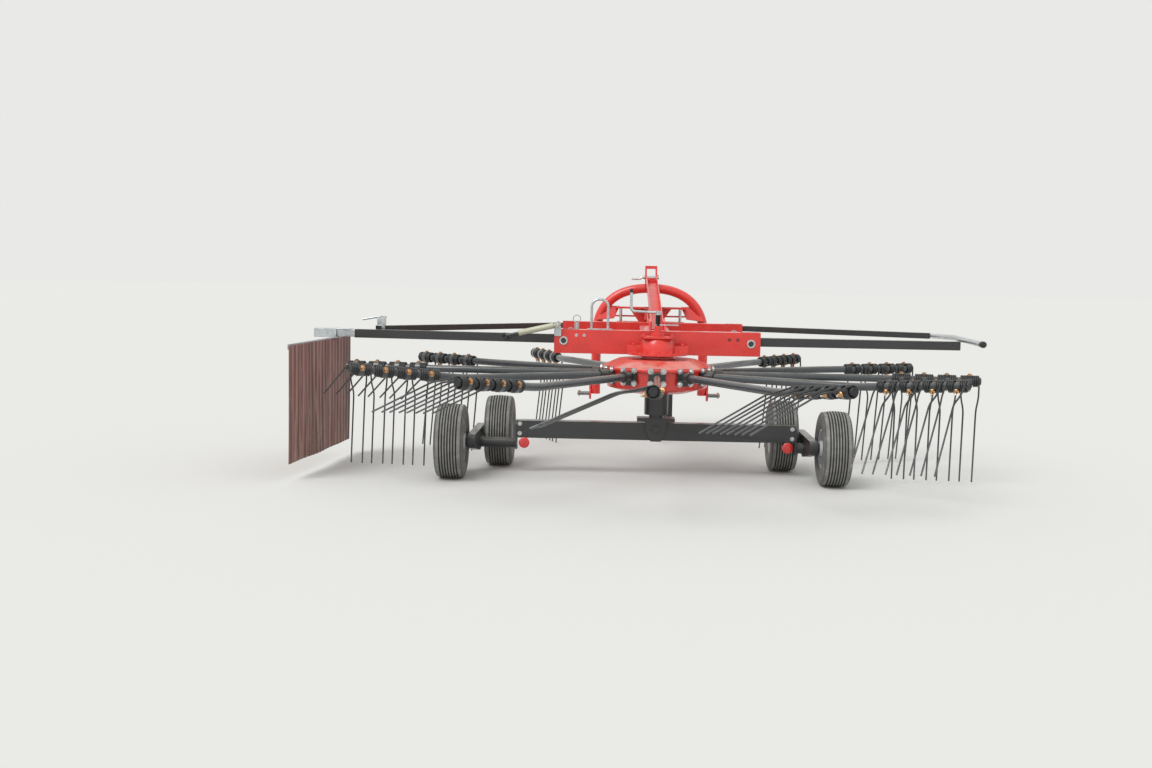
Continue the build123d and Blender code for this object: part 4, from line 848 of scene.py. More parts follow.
@dataclass
class Wheels:
    """Four implement wheels: tyres with ring-shaped ribs, and the nuts, cap and valve of their rims."""

    ribs: int = 8
    groove_floor: float = 2.7 * MM
    groove_top: float = 4.3 * MM
    groove_deep: float = 6.5 * MM
    tread_half: float = 62 * MM
    crown_drop: float = 6 * MM
    shoulder: tuple = (0.8, 0.9)
    bead_radius: float = 104 * MM
    bead_half: float = 58 * MM
    # Share of the grooves' painted shade and thinner dust that the sidewalls get
    wall_shade: float = 0.25
    sides: int = 112
    nuts: int = 5
    nut_circle: float = 70 * MM
    disc_face: float = 15 * MM
    cap_face: float = 36 * MM
    cap_high: float = 9 * MM
    cap_radius: float = 33 * MM
    cap_over: float = 0.5 * MM
    valve_circle: float = 88 * MM
    valve_lean: float = 0.25
    valve: tuple = ((-6, 6), (8, 6), (11, 4.2), (30, 4.2), (30, 5), (40, 5), (41, 4))
    outward: tuple = (("left_outer", -1), ("left_inner", 1), ("right_outer", 1), ("right_inner", -1))

    def tread(self, radius: float) -> np.ndarray:
        """Outline of the tread: a shallow crown whose radius falls with the square of the distance from
        the middle, cut by evenly spaced grooves with steep walls.

        Args:
            radius: the tyre's radius.

        Returns:
            Points across the tread.
        """
        centres = self.tread_half * (2 * np.arange(1, self.ribs) / self.ribs - 1)
        steps = [-self.groove_top, -self.groove_floor, self.groove_floor, self.groove_top]
        cut = np.pad(np.tile([0.0, self.groove_deep, self.groove_deep, 0.0], len(centres)), 1)
        across = np.concatenate([[-self.tread_half], (centres[:, None] + steps).ravel(), [self.tread_half]])
        crown = radius - self.crown_drop * (across / self.tread_half) ** 2
        return np.stack([across, crown - cut], axis=-1)

    def sidewall(self, radius: float, half: float) -> np.ndarray:
        """Outline from the tread's edge to the bead: a quarter of a superellipse out to the widest point,
        then a quarter of an ellipse back in.

        Args:
            radius: the tyre's radius.
            half: half its width.

        Returns:
            Points down the right sidewall.
        """
        top = radius - self.crown_drop
        widest = (top + self.bead_radius) / 2
        angle = np.linspace(0, pi / 2, 12)[1:]
        out = np.stack([self.tread_half + (half - self.tread_half) * np.sin(angle) ** self.shoulder[0],
                        widest + (top - widest) * np.cos(angle) ** self.shoulder[1]], axis=-1)
        back = np.stack([half - (half - self.bead_half) * (1 - np.cos(angle)),
                         widest - (widest - self.bead_radius) * np.sin(angle)], axis=-1)
        return np.concatenate([out, back])

    def fittings(self, centre: np.ndarray, way: int) -> Skin:
        """Wheel nuts on an even circle, a pressed dust cap over the hub and a tyre valve through the disc.

        Args:
            centre: the wheel's centre.
            way: 1 where it looks right, -1 where it looks left.

        Returns:
            The skin of one wheel's fittings.
        """
        made = Skin()
        face = centre + way * self.disc_face * RIGHT
        spokes = ring(self.nut_circle, self.nuts, pi / 2) @ np.array([FORWARD, UP])
        made.bolts(Bolt.WHEEL, face + spokes, way * RIGHT)
        angle = np.linspace(0, pi / 2, 7)
        dome = np.stack([self.cap_face + self.cap_high * np.sin(angle),
                         self.cap_radius * np.cos(angle) + self.cap_over], axis=-1)
        made.lathe(dome, centre, way * RIGHT, 32, PLATED)
        made.lathe(mm(self.valve), face - self.valve_circle * UP, way * RIGHT + self.valve_lean * UP, 12, PLASTIC)
        return made

    def build(self) -> None:
        """Make the tyre and the rim's fittings of each wheel. The tyre's attribute is how deep a point lies in a
        groove, which thins the dust there and takes it towards the groove colour as painted shade; the sidewalls get
        a fixed share.
        """
        for name, way in self.outward:
            low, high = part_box(f"tyre_{name}")
            centre = middle(f"tyre_{name}")
            radius = (high.z - low.z) / 2
            right = self.sidewall(radius, (high.x - low.x) / 2)
            outline = np.concatenate([right[::-1] * [-1, 1], self.tread(radius), right])
            floor = radius - self.groove_deep - self.crown_drop
            crown = self.crown_drop * np.clip(np.abs(outline[:, 0]) / self.tread_half, 0, 1) ** 2
            wear = np.clip((radius - crown - outline[:, 1]) / self.groove_deep, 0, 1)
            # Sidewalls get a fixed share of the grooves' painted shade
            wear = np.where(outline[:, 1] < floor, self.wall_shade, wear)
            tyre = Skin()
            tyre.lathe(outline, centre, RIGHT, self.sides, RUBBER, looped=True, wear=wear[:, None])
            tyre.piece(f"ribbed_tyre_{name}", f"wheel_{name}", Slot.TYRE, (f"tyre_{name}",), crease=50)
            self.fittings(centre, way).piece(f"wheel_nuts_{name}", f"wheel_{name}", Slot.BRIGHT)


@dataclass
class TineArms:
    """Twelve arms, each with four double spring tines wound from one wire."""

    lifts: tuple = (0, 0, 0, 0, 0, 0, 0, 72, 72, 72, 72, 45)
    arm_radius: float = 21 * MM
    arm_start: float = 322.3 * MM
    arm_end: float = 1820 * MM
    bend_at: float = 1200 * MM
    bend_round: float = 60 * MM
    bend: float = 6.0
    plug: tuple = ((0, 21), (2, 19), (2, 14), (-2, 12), (-2, 1))
    first_tine: float = 1385 * MM
    pitch: float = 125 * MM
    tines: int = 4
    wire: float = 4.75 * MM
    wire_sides: int = 8
    coil_radius: float = 28.75 * MM
    turns: float = 3.5
    turn_steps: int = 20
    clip_half: float = 15 * MM
    clip_angle: float = 112.0
    clip_over: float = 2 * MM
    clip_gap: float = 0.4 * MM
    clip_short: float = 1 * MM
    cup: tuple = ((0, 15), (3, 15), (7, 11), (9, 9))
    nut: tuple = ((9, 9.2), (17, 9.2), (18, 8), (20, 7))
    thread: tuple = ((18, 5), (27, 5), (28, 4))
    bolt_in: float = 3 * MM
    prong_low: float = 34 * MM
    knee_down: float = 130 * MM
    knee_from: float = 160 * MM
    knee_to: float = 90 * MM
    knee_sway: float = 4 * MM
    knee_round: float = 28 * MM
    coil_down: float = 8 * MM
    tip_down: float = 572 * MM
    knee_back: float = 18 * MM
    tip_lead: float = 46 * MM

    def prong_and_coil(self, side: int) -> np.ndarray:
        """Line of one half of a double tine: up the prong from its tip, round the knee, and on as a helix
        whose angle and place along the arm both grow evenly with the number of turns.

        Args:
            side: 1 or -1, along the arm.

        Returns:
            Points of the wire's line.
        """
        turns = np.linspace(0, self.turns, int(self.turns * self.turn_steps) + 1)
        angle = pi - 2 * pi * turns
        outer = self.clip_half + self.turns * 2 * self.wire
        coil = np.stack([outer - turns * 2 * self.wire, self.coil_radius * np.cos(angle),
                         self.coil_radius * np.sin(angle)], axis=-1)
        knee_y = -self.coil_radius - self.knee_back
        prong = rounded_path([
            (self.prong_low, knee_y + self.tip_lead, -self.tip_down),
            (self.prong_low, knee_y, -self.knee_from),
            (outer, -self.coil_radius - self.knee_sway, -self.knee_to),
            (outer, -self.coil_radius, -self.coil_down),
        ], self.knee_round, 5)
        return np.concatenate([prong, coil]) * [side, 1, 1]

    def tine(self) -> Skin:
        """One double tine with its clip, centred on the arm's line, which runs along X.

        Returns:
            The skin of one tine.
        """
        made = Skin()
        profile = ring(self.wire, self.wire_sides)
        for side in (-1, 1):
            line = self.prong_and_coil(side)
            down = np.clip((-line[:, 2] - self.knee_down) / (self.tip_down - self.knee_down), 0, 1)
            made.grid(carried(profile, line, RIGHT), TINE_STEEL, wear=down[:, None] ** 2)
        reach = self.clip_half + self.wire
        bridge = np.array([[-reach, 0, 0], [0, 0, 0], [reach, 0, 0]]) + self.coil_radius * FORWARD
        made.grid(carried(profile, bridge, UP), TINE_STEEL)
        self.clip(made)
        return made

    def clip(self, made: Skin) -> None:
        """Saddle plate round the arm: an open ring of constant wall from the top round the front to the
        bottom, with a bolt through it, a cupped washer and a lock nut below.

        Args:
            made: the skin to add it to.
        """
        angle = np.radians(np.linspace(-self.clip_angle, self.clip_angle, 17))
        inner = self.arm_radius + self.clip_gap
        outer = self.coil_radius + self.wire + self.clip_over
        half = self.clip_half - self.clip_short
        corner = np.array([(-half, inner), (half, inner), (half, outer), (-half, outer)])
        way = np.stack([np.cos(angle), np.sin(angle)], axis=-1)
        along = np.broadcast_to(corner[:, :1], (len(angle), 4, 1))
        made.grid(np.concatenate([along, corner[:, 1:] * way[:, None]], axis=-1), ARM_BLACK)
        below = Skin()
        rows = ((self.cup, 14, YELLOW_ZINC), (self.nut, 6, YELLOW_ZINC), (self.thread, 8, PLATED))
        for outline, sides, finish in rows:
            below.lathe(mm(outline), ORIGIN, RIGHT, sides, finish)
        made.stamp(below, facing([(self.bolt_in - outer) * UP], -UP))
        made.bolts(Bolt.TINE, [(outer - self.bolt_in) * UP], UP, YELLOW_ZINC)

    def arm(self) -> Skin:
        """One arm along +X from the rotor's axis, its outer run bent back, with a dished plug in its open end.

        Returns:
            The skin of one arm with its tines.
        """
        made = Skin()
        back = np.array([cos(radians(self.bend)), -sin(radians(self.bend)), 0])
        knee = self.bend_at * RIGHT
        end = knee + back * (self.arm_end - self.bend_at)
        line = rounded_path([self.arm_start * RIGHT, knee, end], self.bend_round, 6)
        made.grid(carried(ring(self.arm_radius, 28), line, UP), ARM_BLACK, capped=False)
        made.lathe(mm(self.plug), end, back, 28, PLASTIC)
        places = self.first_tine - self.bend_at + self.pitch * np.arange(self.tines)
        made.stamp(self.tine(), facing(knee + places[:, None] * back, back))
        return made

    def build(self) -> None:
        """Place the arms round the rotor, each turned about its own line by the cam."""
        pattern = self.arm()
        for number, lift in enumerate(self.lifts):
            along, side = arm_ways(number)
            up = sin(radians(lift)) * side + cos(radians(lift)) * UP
            arm = Skin()
            arm.stamp(pattern, placing(ROTOR, along, up))
            name = f"tine_arm_{number + 1:02d}"
            arm.piece(f"sprung_{name}", "rotor", Slot.DARK, (name,), crease=45)


@dataclass
class Curtain:
    """Swath curtain: a ribbed, coated cloth that hangs from its bar. A slow fold is given by its angle
    across the cloth, its lean downwards, its start and its share."""

    rib: float = 60 * MM
    rib_deep: float = 5 * MM
    rib_round: float = 0.6
    bar_wall: float = 6 * MM
    bar_over: float = 8 * MM
    fold_deep: float = 9 * MM
    folds: tuple = ((7.3, 0.0, 0.6, 0.6), (16.1, 1.7, 0.0, 0.4))
    # Share of the full colour left in the rib valleys; the rest is painted shade
    valley_shade: float = 0.25
    columns: int = 400
    rows: int = 60
    thick: float = 2.4 * MM

    def build(self) -> None:
        """Hang the cloth: its offset is a row of even ribs, round outside and narrow between, from the power
        of a sine, plus slow folds that grow with the square of the distance below the bar. Its upper edge
        lies on the inner face of the bar, a flat strip on edge."""
        low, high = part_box("curtain")
        front, rear = np.array([high.x, high.y]), np.array([low.x, low.y])
        run = rear - front
        length = float(np.linalg.norm(run))
        out = np.array([run[1], -run[0]]) / length
        across = np.linspace(0, 1, self.columns)[None, :]
        down = np.linspace(0, 1, self.rows)[:, None]
        swell = np.abs(np.sin(across * length / self.rib * pi)) ** self.rib_round
        slow = sum(share * np.sin(across * wide + down * lean + start) for wide, lean, start, share in self.folds)
        offset = self.rib_deep * (swell - self.rib_round) + self.fold_deep * slow * down ** 2
        offset -= self.bar_wall / 2 + self.rib_deep / 2 + self.thick
        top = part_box("curtain_bar")[1].z
        self.bar(np.array([[*front, top], [*rear, top]]), top - high.z)
        top -= self.bar_over
        height = top + (low.z - top) * down + 0 * across
        flat = front + run * across[..., None] + out * offset[..., None]
        grid = np.concatenate([flat, height[..., None]], axis=-1)
        cloth = Skin()
        # Painted shade: the attribute falls from 1 on the ribs to a quarter in the valleys, darkening them
        cloth.grid(grid, CLOTH, around=False, wear=self.valley_shade + (1 - self.valley_shade) * swell)
        piece = cloth.piece("hung_curtain", "carrier", Slot.CLOTH, ("curtain",), crease=80)
        wall = piece.modifiers.new("cloth thickness", "SOLIDIFY")
        wall.thickness = self.thick
        wall.offset = 0

    def bar(self, line: np.ndarray, tall: float) -> None:
        """Galvanised strip on edge that takes the place of the frame's bar: a rectangle carried along a line.

        Args:
            line: the two ends of its upper edge.
            tall: its height.
        """
        half = self.bar_wall / 2
        strip = Skin()
        outline = np.array([(-half, -tall), (half, -tall), (half, 0), (-half, 0)])
        strip.grid(carried(outline, line, UP), ZINC)
        strip.piece("curtain_strip", "carrier", Slot.ZINC, ("curtain_bar",), ease=1 * MM)


@dataclass
class RotorFittings:
    """Bolts of the arms' flanges, and of the gearbox that the rotor hangs from."""

    face: float = 314 * MM
    corner: float = 35 * MM
    flange_circle: float = 154 * MM
    flange_angles: tuple = (35, 145, 215, 243, 270, 297, 325)
    flange_top: float = 714 * MM
    ear: tuple = (140 * MM, 20 * MM)
    ear_top: float = 752 * MM
    plate: tuple = (80 * MM, 72 * MM)
    plate_top: float = 806 * MM

    def build(self) -> None:
        """Four bolts in a square on each arm's flange, and the bolts on the gearbox's flange, on its two ears
        and on its top plate."""
        square = np.array([[-1, -1], [1, -1], [1, 1], [-1, 1]])
        bolts = Skin()
        for number in range(ARMS):
            outward, side = arm_ways(number)
            points = ROTOR + outward * self.face + self.corner * square @ np.array([side, UP])
            bolts.bolts(Bolt.ARM, points, outward)
        bolts.piece("arm_flange_bolts", "rotor", Slot.BRIGHT)
        angle = np.radians(self.flange_angles)
        circle = self.flange_circle * np.stack([np.cos(angle), np.sin(angle)], axis=-1)
        bolts = Skin()
        for flat, height in ((circle, self.flange_top), (square * self.ear, self.ear_top),
                             (square * self.plate, self.plate_top)):
            points = np.concatenate([ROTOR[:2] + flat, np.full((len(flat), 1), height)], axis=1)
            bolts.bolts(Bolt.GEARBOX, points, UP, RED)
        bolts.piece("gearbox_bolts", "frame", Slot.RED)


@dataclass
class BeamFittings:
    """Bushes of the guards' hinge pins, small bolts and hole plugs on the cross beams."""

    bush: tuple = ((-1, 15.2), (-1, 25), (4, 25), (5, 24), (5, 16.2), (4, 15.2))
    bolt_x: tuple = (-470 * MM, -425 * MM)
    bolt_z: float = 798 * MM
    plug: tuple = ((-0.5, 9), (1.0, 9), (1.6, 8), (1.6, 5), (-0.2, 4), (-0.2, 0.5))
    plug_x: tuple = (419 * MM, 468 * MM)
    plug_z: float = 787 * MM

    def build(self) -> None:
        """A ring on each hinge pin, and the row of bolts and plugs on the rear beam's rear face."""
        made = Skin()
        for joint in ("left_guard_fold", "right_guard_fold"):
            x, _, z = JOINTS[joint]["pos_m"]
            for beam in ("rear_beam", "front_beam"):
                low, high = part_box(beam)
                for face, way in ((low.y, -1), (high.y, 1)):
                    made.lathe(mm(self.bush), np.array([x, face, z]), way * FORWARD, 36, PLATED, looped=True)
        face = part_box("rear_beam")[0].y
        made.bolts(Bolt.BEAM, [(ROTOR[0] + x, face, self.bolt_z) for x in self.bolt_x], -FORWARD)
        plug = Skin()
        plug.lathe(mm(self.plug), ORIGIN, RIGHT, 20, PLASTIC)
        made.stamp(plug, facing([(ROTOR[0] + x, face, self.plug_z) for x in self.plug_x], -FORWARD))
        made.piece("beam_bushes_and_bolts", "frame", Slot.BRIGHT)


@dataclass
class AxleFittings:
    """Bolts in the axle beam's ends, the big nuts of the rockers' pivots and the reflectors' lenses."""

    tab: float = 4 * MM
    bolt_in: float = 26 * MM
    bolt_z: tuple = (230 * MM, 286 * MM)
    lens: tuple = ((-6, 31), (1, 31), (3, 28), (5, 15.5), (5.5, 0.5))
    pivot_y: float = 30 * MM
    pivot_z: float = 172 * MM
    pivot_ends: tuple = (-1072 * MM, 907 * MM)

    def build(self) -> None:
        """Two bolts at each end of the beam, one pivot nut with its washer outside each rocker, and a domed
        lens on each reflector's rear face."""
        made = Skin()
        low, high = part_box("axle_beam")
        face = low.y + self.tab
        points = [(x, face, z) for x in (low.x + self.bolt_in, high.x - self.bolt_in) for z in self.bolt_z]
        made.bolts(Bolt.AXLE, points, -FORWARD)
        for end in self.pivot_ends:
            point = (ROTOR[0] + end, ROTOR[1] + self.pivot_y, self.pivot_z)
            made.bolts(Bolt.PIVOT, [point], np.sign(end) * RIGHT)
        made.piece("axle_bolts", "frame", Slot.BRIGHT)
        for side in ("left", "right"):
            centre = middle(f"reflector_{side}")
            centre[1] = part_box(f"reflector_{side}")[0].y
            lens = Skin()
            lens.lathe(mm(self.lens), centre, -FORWARD, 40, LENS)
            lens.piece(f"reflector_lens_{side}", "frame", Slot.LENS)


@dataclass
class Headstock:
    """Hoop, open cross member, bridge of the top bracket and the pins' fittings."""

    tube: float = 34 * MM
    solid_tube: float = 30 * MM
    spring_z: float = 700 * MM
    leg_short: float = 20 * MM
    crown: float = 12 * MM
    squareness: float = 2.35
    plate_half: float = 250 * MM
    lower_short: float = 10 * MM
    plate_back: float = 70 * MM
    plate_ahead: float = 30 * MM
    plate_t: float = 14 * MM
    upper_z: float = 901 * MM
    lower_z: float = 797 * MM
    neck_half: float = 150 * MM
    boss: float = 55 * MM
    web_at: float = 52 * MM
    web_foot: float = 85 * MM
    web_t: float = 10 * MM
    post_x: float = 212 * MM
    post_back: float = 50 * MM
    post_r: float = 11 * MM
    post_in: float = 2 * MM
    gusset: tuple = ((220, 0), (260, -96), (385, -112), (361, -50), (322, 0))
    gusset_t: float = 10 * MM
    gusset_lean: float = 24.0
    bar_half: float = 275 * MM
    bar_back: float = 24 * MM
    bar_z: float = 848 * MM
    bar_r: float = 6 * MM
    bridge_half: float = 31.5 * MM
    bridge_high: float = 22 * MM
    bridge_back: float = 16 * MM
    bridge_t: float = 10 * MM
    pin_in: float = 13 * MM
    eye_radius: float = 42 * MM
    top_pin_radius: float = 12.7 * MM
    handle_in: float = 8 * MM
    handle_out: float = 20 * MM
    handle_long: float = 62 * MM
    handle_drop: float = 12 * MM
    handle_r: float = 7 * MM
    linch: tuple = ((-22, 3.5), (-20, 4.5), (14, 4.5), (14, 8), (20, 8), (22, 6))
    linch_ring: float = 21 * MM
    linch_wire: float = 1.9 * MM

    def hoop(self) -> None:
        """Bent tube: upright legs, and over them an arch whose point is half times the cosine's power along X
        and rise times the sine's power up, the power 2 / squareness, so that its shoulders are full."""
        low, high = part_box("headstock_hoop")
        x, y, _ = middle("headstock_hoop")
        half = (high.x - low.x) / 2 - self.solid_tube
        rise = high.z + self.crown - self.solid_tube - self.spring_z
        turn = np.linspace(0, pi, 81)
        power = 2 / self.squareness
        arch = np.stack([
            x - half * np.sign(np.cos(turn)) * np.abs(np.cos(turn)) ** power,
            np.full(len(turn), y),
            self.spring_z + rise * np.sin(turn).clip(0) ** power,
        ], axis=-1)
        height = np.linspace(low.z, self.spring_z - self.leg_short, 6)
        left = np.stack([np.full(6, arch[0, 0]), np.full(6, y), height], axis=-1)
        right = left[::-1] * [0, 1, 1] + [arch[-1, 0], 0, 0]
        made = Skin()
        made.grid(carried(ring(self.tube, 32), np.concatenate([left, arch, right]), FORWARD), RED)
        made.piece("bent_hoop", "headstock", Slot.RED, ("headstock_hoop",), crease=50)

    def cross(self) -> None:
        """Two swivel plates with a web, posts and end gussets between them, and windows left open."""
        x, y, _ = JOINTS["headstock_swivel"]["pos_m"]
        hoop_y = middle("headstock_hoop")[1]
        back, front = hoop_y - y - self.plate_back, hoop_y - y + self.plate_ahead
        arc = ring(self.boss, 48)[24:] * [-1, 1]
        neck, lean = self.neck_half, radians(self.gusset_lean)
        made = Skin()
        for low, half in ((self.upper_z, self.plate_half), (self.lower_z, self.plate_half - self.lower_short)):
            outline = [(-half, front), (-half, back), (-neck, back), *arc, (neck, back), (half, back), (half, front)]
            made.plate(outline, self.plate_t, RED, placing((x, y, low), RIGHT, UP))
        under, top = self.lower_z + self.plate_t, self.upper_z + self.plate_t
        web = [(-self.web_foot, under), (self.web_foot, under), (neck, self.upper_z), (-neck, self.upper_z)]
        made.plate(web, self.web_t, RED, placing((x, y + self.web_at + self.web_t, 0), RIGHT, -FORWARD))
        for side in (-1, 1):
            place = placing((x, hoop_y + self.gusset_t / 2, top), RIGHT, (0, -cos(lean), sin(lean)))
            made.plate(mm(self.gusset) * [side, 1], self.gusset_t, RED, place)
            foot = np.array([x + side * self.post_x, hoop_y - self.post_back, under - self.post_in])
            post = np.array([[0, self.post_r], [self.upper_z - under + 2 * self.post_in, self.post_r]])
            made.lathe(post, foot, UP, 24, PLATED)
        centre = np.array([x, hoop_y - self.bar_back, self.bar_z])
        made.rod(np.array([centre - self.bar_half * RIGHT, centre + self.bar_half * RIGHT]), self.bar_r, RED)
        made.piece("open_cross", "headstock", Slot.RED, ("headstock_cross",), ease=1.5 * MM)

    def bridge(self) -> None:
        """Short plate across the top of the two bracket plates."""
        x, y, _ = middle("headstock_hoop")
        low_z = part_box("top_link_bracket")[1].z - self.bridge_high
        half, high = self.bridge_half, self.bridge_high
        made = Skin()
        place = placing((x, y - self.bridge_back, low_z), RIGHT, -FORWARD)
        made.plate([(-half, 0), (half, 0), (half, high), (-half, high)], self.bridge_t, RED, place)
        made.piece("top_bracket_bridge", "headstock", Slot.RED, ease=1.5 * MM)

    def pins(self) -> None:
        """A linch pin through the end of each linkage pin, and the top pin's bent handle.

        A linch pin's ring is a circle of wire turned about the linkage pin: each point's radius is the
        ring's plus the wire's sine."""
        linch = Skin()
        linch.lathe(mm(self.linch), ORIGIN, UP, 12, YELLOW_ZINC)
        linch.lathe(ring(self.linch_wire, 8) + [0, self.linch_ring], ORIGIN, RIGHT, 32, YELLOW_ZINC, looped=True)
        made = Skin()
        rows = (("lower_link_pin_left", -1, self.eye_radius), ("lower_link_pin_right", 1, self.eye_radius),
                ("top_link_pin", 1, self.top_pin_radius))
        for node, way, up in rows:
            low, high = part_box(node)
            end = (low.x if way < 0 else high.x) - way * self.pin_in
            made.stamp(linch, facing([(end, middle(node)[1], low.z + up)], RIGHT))
        start = middle("top_link_pin")
        start[0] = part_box("top_link_pin")[0].x
        path = rounded_path([
            start + self.handle_in * RIGHT, start - 2 * self.handle_r * RIGHT,
            start - [self.handle_out, 0, self.handle_drop],
            start - [self.handle_out + self.handle_long, 0, self.handle_drop],
        ], self.handle_r, 5)
        made.rod(path, self.handle_r, PLATED)
        made.piece("linkage_pin_fittings", "headstock", Slot.BRIGHT)

    def build(self) -> None:
        """All of the headstock's own pieces."""
        self.hoop()
        self.cross()
        self.bridge()
        self.pins()


@dataclass
class Crank:
    """Height crank: foot, indicator bar, dust sleeve and the bent galvanised rod with its dark tip."""

    foot_z: float = 824 * MM
    foot_top: float = 866 * MM
    foot_r: float = 20 * MM
    bar: tuple = ((-14, -12), (118, -12), (118, 12), (-14, 12))
    bar_z: float = 868 * MM
    bar_t: float = 6 * MM
    sleeve_top: float = 928 * MM
    sleeve_r: float = 13 * MM
    sleeve_folds: int = 11
    fold_deep: float = 3 * MM
    boss_top: float = 951 * MM
    boss_r: float = 15 * MM
    rod_z: float = 941 * MM
    rod_rise: float = 6 * MM
    rod_bend: float = 24 * MM
    reach: float = 155 * MM
    rod_top: float = 1056 * MM
    tip_top: float = 1074 * MM
    rod_r: float = 8 * MM
    edge: float = 2 * MM

    def build(self) -> None:
        """Turned foot, bellows whose radius steps between two values, boss and tip about their own axes,
        and the rod carried along its bent line."""
        made = Skin()
        edge, tip_r = self.edge, self.rod_r + self.edge
        centre = ROTOR * [1, 1, 0]
        foot = np.array([[self.foot_z, self.foot_r], [self.foot_top - edge, self.foot_r],
                         [self.foot_top, self.foot_r - edge], [self.foot_top, self.sleeve_r]])
        made.lathe(foot, centre, UP, 40, RED)
        made.plate(mm(self.bar), self.bar_t, ZINC, placing(centre + self.bar_z * UP, RIGHT, UP))
        rows = np.arange(2 * self.sleeve_folds + 1)
        bellows = np.stack([self.foot_top + rows / rows[-1] * (self.sleeve_top - self.foot_top),
                            self.sleeve_r + self.fold_deep * (rows % 2)], axis=-1)
        made.lathe(bellows, centre, UP, 28, PLASTIC)
        boss = np.array([[self.sleeve_top, self.boss_r], [self.boss_top - edge, self.boss_r],
                         [self.boss_top, self.boss_r - edge]])
        made.lathe(boss, centre, UP, 28, ZINC)
        out = centre - self.reach * RIGHT
        corners = [centre + self.rod_z * UP, out + (self.rod_z + self.rod_rise) * UP, out + self.rod_top * UP]
        made.rod(rounded_path(corners, self.rod_bend, 9), self.rod_r, ZINC, 18)
        tip = np.array([[self.rod_top - edge, tip_r], [self.tip_top - edge, tip_r], [self.tip_top, self.rod_r]])
        made.lathe(tip, out, UP, 22, PLASTIC)
        made.piece("bent_crank", "frame", Slot.ZINC, ("height_crank",))


@dataclass
class GuardFittings:
    """End cap of the right guard's rail, handle of the left guard's clamp and sleeve of the curtain's carrier."""

    cap_at: tuple = (15 * MM, 16.5 * MM)
    cap: tuple = ((27.2, 15.3), (27.2, 17.5), (-2.8, 17.5), (-6.8, 14), (-6.8, 1))
    clamp_in: float = 38.4 * MM
    bolt_off: float = 12 * MM
    handle_foot: float = 6 * MM
    handle_neck: float = 9 * MM
    handle_drop: float = 12 * MM
    handle_long: float = 118 * MM
    handle_bend: float = 8 * MM
    handle_radius: float = 7 * MM
    sleeve_half: float = 35 * MM
    sleeve_in: float = 30 * MM
    sleeve_out: float = 110 * MM
    sleeve_wall: float = 4 * MM
    sleeve_over: float = 1 * MM
    end_band: float = 0.5 * MM

    def build(self) -> None:
        """A turned cap on the rail, a rod bent out of the clamp's top beside its bolt, and the hanger."""
        low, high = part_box("right_guard_rail")
        cap = Skin()
        end = np.array([low.x + self.cap_at[0], low.y, high.z - self.cap_at[1]])
        cap.lathe(mm(self.cap), end, FORWARD, 28, PLASTIC)
        cap.piece("rail_end_cap", "right_guard", Slot.PLASTIC)
        low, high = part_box("left_guard_front_tube")
        foot = np.array([low.x + self.clamp_in, low.y + self.clamp_in, high.z])
        corners = [foot - self.handle_foot * UP, foot + self.handle_neck * UP,
                   foot - [self.handle_long, 0, self.handle_drop]]
        handle = Skin()
        handle.rod(rounded_path(corners, self.handle_bend, 5), self.handle_radius, ZINC)
        handle.bolts(Bolt.CLAMP, [foot + self.bolt_off * (RIGHT + FORWARD)], UP)
        handle.piece("clamp_handle", "left_guard", Slot.ZINC)
        self.hanger()

    def hanger(self) -> None:
        """Folded sleeve on the end of the curtain's carrier: a U of constant wall carried outwards over the
        bar. The end's centre is that of the carrier's corners that lie furthest along the slide."""
        slide = unit(np.array(JOINTS["curtain_slide"]["axis"], float))
        way = slide if slide[0] < 0 else -slide
        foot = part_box("curtain_bar")[1].z
        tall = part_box("curtain_carrier")[1].z - foot + self.sleeve_over
        mesh = bpy.data.objects["curtain_carrier"].data
        corners = np.empty(3 * len(mesh.vertices))
        mesh.vertices.foreach_get("co", corners)
        corners = corners.reshape(-1, 3)
        reached = corners @ way
        face = corners[reached > reached.max() - self.end_band]
        end = (face.min(axis=0) + face.max(axis=0)) / 2
        end[2] = foot
        half, wall = self.sleeve_half, self.sleeve_wall
        outline = np.array([(-half, 0), (-half, tall), (half, tall), (half, 0), (half - wall, 0),
                            (half - wall, tall - wall), (wall - half, tall - wall), (wall - half, 0)])
        line = np.array([end - way * self.sleeve_in, end + way * self.sleeve_out])
        sleeve = Skin()
        sleeve.grid(carried(outline, line, UP), ZINC)
        sleeve.piece("curtain_hanger_sleeve", "carrier", Slot.ZINC, ease=1.5 * MM)


